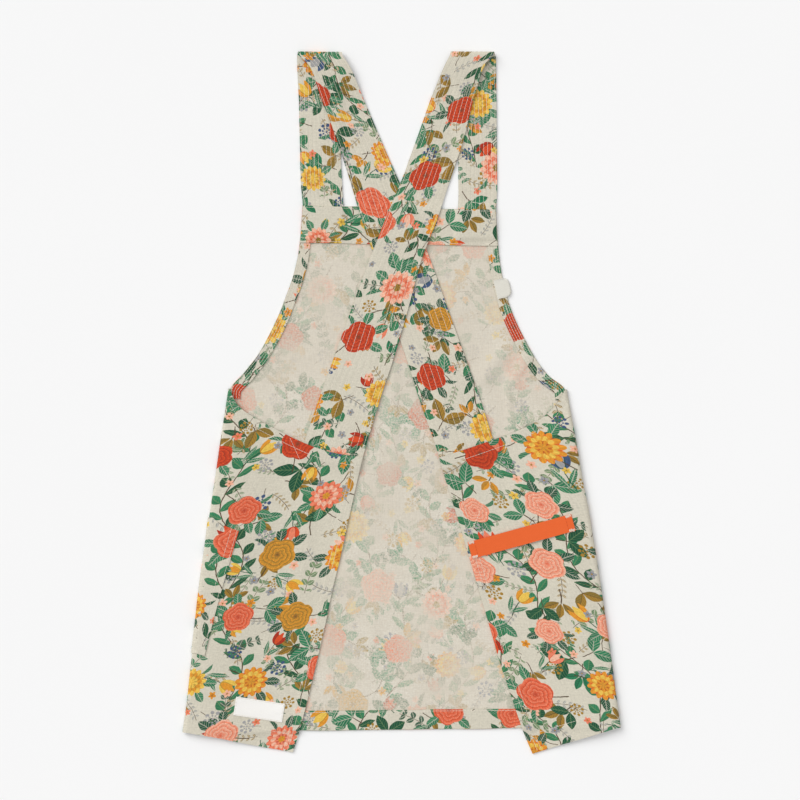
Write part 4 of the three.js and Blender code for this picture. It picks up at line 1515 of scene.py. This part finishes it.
def print_blossoms(s, place, under):
    """Small five-petalled blossoms."""
    m = scatter(s, place, pitch=0.0290, turn=-0.21, wander=0.42, seed=7, kept=0.5)
    notch_radius = 0.0030
    petal_reach = 0.0026
    streak_radius = 0.0036
    eye_radius = 0.0012
    petal = petals(s, m.angle, count=5, phase=0.4)
    rim = s.scaled(petal, petal_reach, notch_radius)
    colour = s.pick(m.colour_chance, [BLUSH, CORAL, YELLOW, BLUSH, GREY, GOLD])
    deep = s.pick(m.colour_chance, [CORAL, ORANGE_RED, OCHRE, CORAL, DUSK_BLUE, BRICK])
    streaks = s.product(s.inside(m.radius, streak_radius, soft=0.002), s.minus(1.0, petal))
    head = s.product(s.inside(m.radius, rim), m.shown)
    eye = s.product(s.inside(m.radius, eye_radius), m.shown)
    return s.mix(eye, s.mix(head, under, s.mix(streaks, colour, deep)), OCHRE)


def print_dahlia(s, m, under, size, shown):
    """A dahlia of four whorls of petals, from the outermost in."""
    notch = 0.2
    gap_width = 0.6
    colour = under
    for whorl in WHORLS:
        petal = petals(s, m.angle, whorl.petals, whorl.phase)
        radius = size * whorl.share
        rim = s.scaled(petal, radius * notch, radius * (1 - notch))
        gap = s.pick(m.colour_chance, whorl.gaps)
        tip = s.pick(m.colour_chance, whorl.tips)
        brushed = s.painted(s.mix(s.math("POWER", petal, gap_width), gap, tip), m.angle, m.radius)
        colour = s.mix(s.product(s.inside(m.radius, rim), shown), colour, brushed)
    return colour


def print_rose(s, m, under, size, shown):
    """A rose whose petals wind to the heart."""
    winding = 0.0047
    waviness = 0.0024
    notch = 0.15
    heart_radius = size * 0.22
    fold_width = 0.14
    fold_strength = 0.75
    wave = petals(s, m.angle, count=5, phase=0.7)
    turns = s.minus(s.divided(s.scaled(wave, -waviness, m.radius), winding), s.divided(m.angle, math.pi))
    band = s.math("FRACT", turns)
    light = s.pick(m.colour_chance, [ORANGE_RED, BLUSH, GOLD, ORANGE_RED, CORAL])
    deep = s.pick(m.colour_chance, [BRICK, CORAL, OCHRE, BRICK, ORANGE_RED])
    dark = s.pick(m.colour_chance, [BROWN, ORANGE_RED, BROWN, BROWN, BRICK])
    brushed = s.painted(s.mix(band, deep, light), m.angle, m.radius)
    heart = s.inside(m.radius, heart_radius, soft=size * 0.2)
    folds = s.either(heart, s.inside(band, fold_width, soft=0.12))
    rim = s.scaled(wave, size * notch, size * (1 - notch))
    folded = s.mix(s.product(folds, fold_strength), brushed, dark)
    return s.mix(s.product(s.inside(m.radius, rim), shown), under, folded)


def print_blooms(s, place, under):
    """Large round blooms on a few leaves, some roses and some dahlias."""
    m = scatter(s, place, pitch=0.080, turn=0.13, wander=0.20, seed=11, kept=0.93)
    size = 0.0205
    leaf_start = size * 0.72
    leaf_length = size * 1.05
    stem_length = size * 1.75
    stem_half = 0.0008
    rose_share = 0.46
    roses = s.below(m.presence, rose_share)
    out, side = spokes(s, m, count=7)
    along = s.minus(out, leaf_start)
    blade = s.leaf(along, side, leaf_length, half_width=0.0056)
    leaves = s.product(blade, s.above(m.y, 0.0), m.shown)
    green = s.pick(m.colour_chance, [EMERALD, DEEP_GREEN, EMERALD])
    tail = s.product(s.below(m.y, 0.0), s.inside(m.radius, stem_length), m.shown)
    stem = s.product(s.inside(bent_stem(s, m, bend=5.0), stem_half), tail)
    colour = s.mix(leaves, s.mix(stem, under, BROWN), s.veined(green, along, side, spacing=0.0036))
    colour = print_dahlia(s, m, colour, size, s.minus(m.shown, roses))
    return print_rose(s, m, colour, size, roses)


def make_print():
    """The flower print as a node group: a place in the flat cut gives a colour."""
    tree = bpy.data.node_groups.new("flower_print", "ShaderNodeTree")
    tree.interface.new_socket("Place", in_out="INPUT", socket_type="NodeSocketVector")
    tree.interface.new_socket("Colour", in_out="OUTPUT", socket_type="NodeSocketColor")
    s = Shader(tree)
    place = s.node("NodeGroupInput", {}).outputs[0]
    unsteady = s.noise(place, scale=180.0, detail=1.0, output="Color")
    hand = s.vector("MULTIPLY_ADD", unsteady, (HAND_SHAKE, HAND_SHAKE, 0), place)
    colour = print_vines(s, hand, CREAM)
    for sprig in SPRIGS:
        colour = print_sprigs(s, hand, colour, sprig)
    for draw in (print_sprays, print_leaf_pairs, print_umbels, print_tulips, print_blossoms, print_blooms):
        colour = draw(s, hand, colour)
    stroke = s.scaled(s.noise(place, scale=420.0, detail=2.0), *STROKE_SHADE)
    s.node("NodeGroupOutput", {0: s.shaded(colour, stroke)})
    return tree


# Materials


def make_material(name):
    material = bpy.data.materials.new(name)
    material.use_nodes = True
    material.node_tree.nodes.clear()
    return material, Shader(material.node_tree)


def flat_place(s):
    return s.node("ShaderNodeUVMap", {}, uv_map=FLAT_CUT).outputs[0]


def object_place(s):
    return s.node("ShaderNodeTexCoord", {}).outputs["Object"]


def weave(s, place, pitch):
    """Height of a plain weave, and the uneven thickness of its yarns."""
    x, y, _ = s.parts(place)
    turns = 2 * math.pi / pitch
    over = s.product(s.sine(s.product(x, turns)), s.sine(s.product(y, turns)))
    yarns = []
    for stretch in ((1.0, YARN_STRETCH, 1.0), (YARN_STRETCH, 1.0, 1.0)):
        along = s.vector("MULTIPLY", place, stretch)
        yarns.append(s.noise(along, 1 / (pitch * YARN_BUMP), detail=1.0, noise_dimensions="2D"))
    slub = s.plus(*yarns)
    return s.scaled(over, WEAVE_RELIEF, slub), slub


def finish_cloth(s, colour, height, depth, roughness):
    """A matt cloth surface with a little sheen, and its yarns as fine relief."""
    bump = s.node("ShaderNodeBump", {"Height": height, "Distance": depth, "Strength": 1.0}).outputs[0]
    inputs = {
        "Base Color": colour,
        "Roughness": roughness,
        "Specular IOR Level": 0.2,
        "Sheen Weight": 0.06,
        "Sheen Roughness": 0.5,
        "Normal": bump,
    }
    surface = s.node("ShaderNodeBsdfPrincipled", inputs).outputs[0]
    s.node("ShaderNodeOutputMaterial", {0: surface})


def printed_side(s, place, flower_print):
    return s.node("ShaderNodeGroup", {0: place}, node_tree=flower_print).outputs[0]


def unprinted_side(s, place, flower_print):
    """Bare canvas with the print showing through in specks and patches, fainter on the bib."""
    fray = s.vector("SUBTRACT", s.noise(place, scale=650.0, detail=1.0, output="Color"), (0.5, 0.5, 0.5))
    frayed = s.vector("MULTIPLY_ADD", fray, (INSIDE_FRAY, INSIDE_FRAY, 0), place)
    printed = printed_side(s, frayed, flower_print)
    lightened = s.node("ShaderNodeGamma", {0: printed, 1: INSIDE_GAMMA}).outputs[0]
    specks = s.scaled(s.noise(place, scale=420.0, detail=2.0), *INSIDE_SPECKS, clamp=True)
    patches = s.scaled(s.noise(place, scale=17.0, detail=1.0), *INSIDE_PATCHES)
    bib_low, bib_high = INSIDE_BIB_FADE
    fading = {0: s.parts(place)[1], 1: bib_low, 2: bib_high, 3: 1.0, 4: INSIDE_ON_BIB}
    bib = s.node("ShaderNodeMapRange", fading).outputs[0]
    return s.mix(s.product(specks, patches, bib, INSIDE_STRENGTH), BEIGE, lightened)


def make_canvas(name, side, flower_print):
    """Canvas in plain weave, seen from its printed or its unprinted side."""
    material, s = make_material(name)
    place = flat_place(s)
    height, slub = weave(s, place, CANVAS_YARN)
    patch = s.scaled(s.noise(place, scale=14.0, detail=2.0), *PATCH_SHADE)
    shade = s.product(s.scaled(slub, *YARN_SHADE), patch)
    finish_cloth(s, s.shaded(side(s, place, flower_print), shade), height, CLOTH_BUMP, CANVAS_ROUGHNESS)
    return material


def make_tape(name, light, dark, rib):
    """Woven tape with fine ribs across it, which lean one way and then the other."""
    material, s = make_material(name)
    place = flat_place(s)
    x, y, _ = s.parts(place)
    lean = s.plus(x, s.product(s.math("PINGPONG", y, RIB_ZIGZAG), RIB_LEAN))
    ribs = s.scaled(s.sine(s.product(lean, 2 * math.pi / rib)), 0.5, 0.5)
    share = s.product(ribs, s.noise(place, scale=900.0, detail=1.0), RIB_SHADE)
    finish_cloth(s, s.mix(share, light, dark), ribs, CLOTH_BUMP, TAPE_ROUGHNESS)
    return material


def make_thread(name, colour, shade):
    """Sewing thread with a fine twist."""
    material, s = make_material(name)
    place = object_place(s)
    speck = s.noise(place, scale=700.0, detail=1.0)
    twist = s.noise(place, scale=2500.0, detail=0.0)
    finish_cloth(s, s.mix(speck, colour, shade), twist, THREAD_BUMP, THREAD_ROUGHNESS)
    return material


# Floor and light


def make_floor():
    bpy.ops.object.select_all(action="DESELECT")
    bpy.ops.mesh.primitive_plane_add(size=FLOOR_SIZE)
    floor = bpy.context.object
    floor.name = "floor"
    material, s = make_material("pale_floor")
    colour = s.mix(s.noise(object_place(s), scale=3.0, detail=2.0), FLOOR_WHITE, FLOOR_LIGHTER)
    inputs = {"Base Color": colour, "Roughness": 1.0, "Specular IOR Level": 0.0}
    surface = s.node("ShaderNodeBsdfPrincipled", inputs).outputs[0]
    s.node("ShaderNodeOutputMaterial", {0: surface})
    floor.data.materials.append(material)


def make_lights():
    world = bpy.data.worlds.new("studio")
    world.use_nodes = True
    sky = world.node_tree.nodes["Background"]
    sky.inputs["Color"].default_value = (1.0, 1.0, 1.0, 1.0)
    sky.inputs["Strength"].default_value = SKY_STRENGTH
    bpy.context.scene.world = world
    for lamp in LAMPS:
        data = bpy.data.lights.new(lamp.name, "SUN")
        data.energy = lamp.strength
        data.angle = lamp.angle
        light = bpy.data.objects.new(lamp.name, data)
        light.rotation_mode = "QUATERNION"
        light.rotation_quaternion = Vector(lamp.direction).to_track_quat("-Z", "Y")
        bpy.context.scene.collection.objects.link(light)
    bpy.context.scene.view_settings.view_transform = "Standard"


make_floor()
make_lights()

# Finishes
Finish = namedtuple("Finish", "materials slot")
flower_print = make_print()
canvas_outside = make_canvas("printed_canvas", printed_side, flower_print)
canvas_inside = make_canvas("canvas_inside", unprinted_side, flower_print)
BOTH_SIDES = Finish([canvas_inside, canvas_outside], "floral_canvas")
PRINTED = Finish([canvas_outside], "floral_canvas")
ORANGE = Finish([make_tape("orange_tape", TAPE_ORANGE, TAPE_SHADE, TAPE_RIB)], "orange_tape")
WHITE = Finish([make_tape("label_ribbon", LABEL_WHITE, LABEL_SHADE, RIBBON_RIB)], "white_ribbon")
OFF_WHITE = Finish([make_tape("tab_ribbon", TAB_CREAM, TAB_SHADE, RIBBON_RIB)], "white_ribbon")
WHITE_THREAD = Finish([make_thread("white_thread", THREAD_WHITE, THREAD_SHADE)], "white_ribbon")
ORANGE_THREAD = Finish([make_thread("orange_thread", TAPE_SHADE, THREAD_ORANGE)], "orange_tape")

# Lay the sheets from the table up
pocket_front = lay_pocket_front()
front, bib = lay_front()
hem = lay_hem()
bindings = {side: lay_binding(side) for side in SIDES}
strap_fronts = {side: lay_strap(FRONT_RUN[side], up_to_the_shoulder) for side in SIDES}
facing = lay_facing()
strap_backs = {side: lay_strap(BACK_RUN[side], down_the_back) for side in SIDES}
flaps = {side: lay_flap(side) for side in SIDES}
skirt = whole_skirt(front, flaps)
pocket, pocket_shown = whole_pocket(pocket_front)
straps = {side: whole_strap(strap_fronts[side], strap_backs[side]) for side in SIDES}
loop = lay_tape(LOOP, TAPE)
label = lay_tape(LABEL, RIBBON)
tab = fold_tab()

# The sheets: cloth, finish, place in the print, nodes they stand for, how they are held, their stitching
Piece = namedtuple("Piece", "name cloths finish shift nodes held sewn")
BODY_NODES = ["front_panel", "side_fold_left", "side_fold_right", "flap_left", "flap_right"]
PIECES = [
    Piece("smock_body", [skirt, bib], BOTH_SIDES, (0.0, 0.0), BODY_NODES, "folded", ["flap_stitching"]),
    Piece("facing", [facing], PRINTED, (1.91, 0.33), ["bib_facing"], "laid", ["band_stitching"]),
    Piece("hem", [hem], PRINTED, (0.0, 0.95), ["bottom_hem"], "laid", []),
    Piece("binding_left", [bindings["left"]], PRINTED, (0.4, 1.7), ["armhole_binding_left"], "laid", []),
    Piece("binding_right", [bindings["right"]], PRINTED, (0.9, 1.7), ["armhole_binding_right"], "laid", []),
    Piece(
        "quilted_strap_left",
        [straps["left"]],
        PRINTED,
        (0.2, 2.3),
        ["strap_left"],
        "folded",
        ["strap_stitching"],
    ),
    Piece("quilted_strap_right", [straps["right"]], PRINTED, (0.6, 2.3), ["strap_right"], "folded", []),
    Piece("pocket", [pocket], PRINTED, (1.31, 0.4), ["side_pocket"], "folded", ["pocket_stitching"]),
    Piece("tape_loop", [loop], ORANGE, (0.0, 0.0), ["towel_loop"], "laid", ["loop_tacks", "loop_stitching"]),
    Piece("bare_label", [label], WHITE, (0.0, 0.0), ["label"], "laid", ["label_stitching"]),
    Piece("folded_tab", [tab], OFF_WHITE, (0.0, 0.0), ["side_tab"], "folded", []),
]
sheets = {}
for piece in PIECES:
    sheets[piece.name] = make_sheet(piece.name, piece.cloths, piece.finish.materials, piece.shift)

# The stitching: rows and thread
stitch_rows = {
    "strap_stitching": (sew_straps(strap_fronts, straps), WHITE_THREAD),
    "band_stitching": (sew_bands(bindings, hem, facing), WHITE_THREAD),
    "flap_stitching": (sew_flaps(flaps), WHITE_THREAD),
    "pocket_stitching": (sew_pocket(pocket_shown), WHITE_THREAD),
    "label_stitching": (sew_label(label), WHITE_THREAD),
    "loop_tacks": (tack_loop(loop), WHITE_THREAD),
    "loop_stitching": (sew_loop(loop), ORANGE_THREAD),
}
stitching = {}
for name, (rows, thread) in stitch_rows.items():
    stitching[name] = make_stitches(name, rows, thread.materials[0])

# Hang each sheet and its stitching on the root, and hide the parts of the model that they stand for
for piece in PIECES:
    sheet = sheets[piece.name]
    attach(sheet, "root")
    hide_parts(*piece.nodes)
for name, (_, thread) in stitch_rows.items():
    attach(stitching[name], "root")
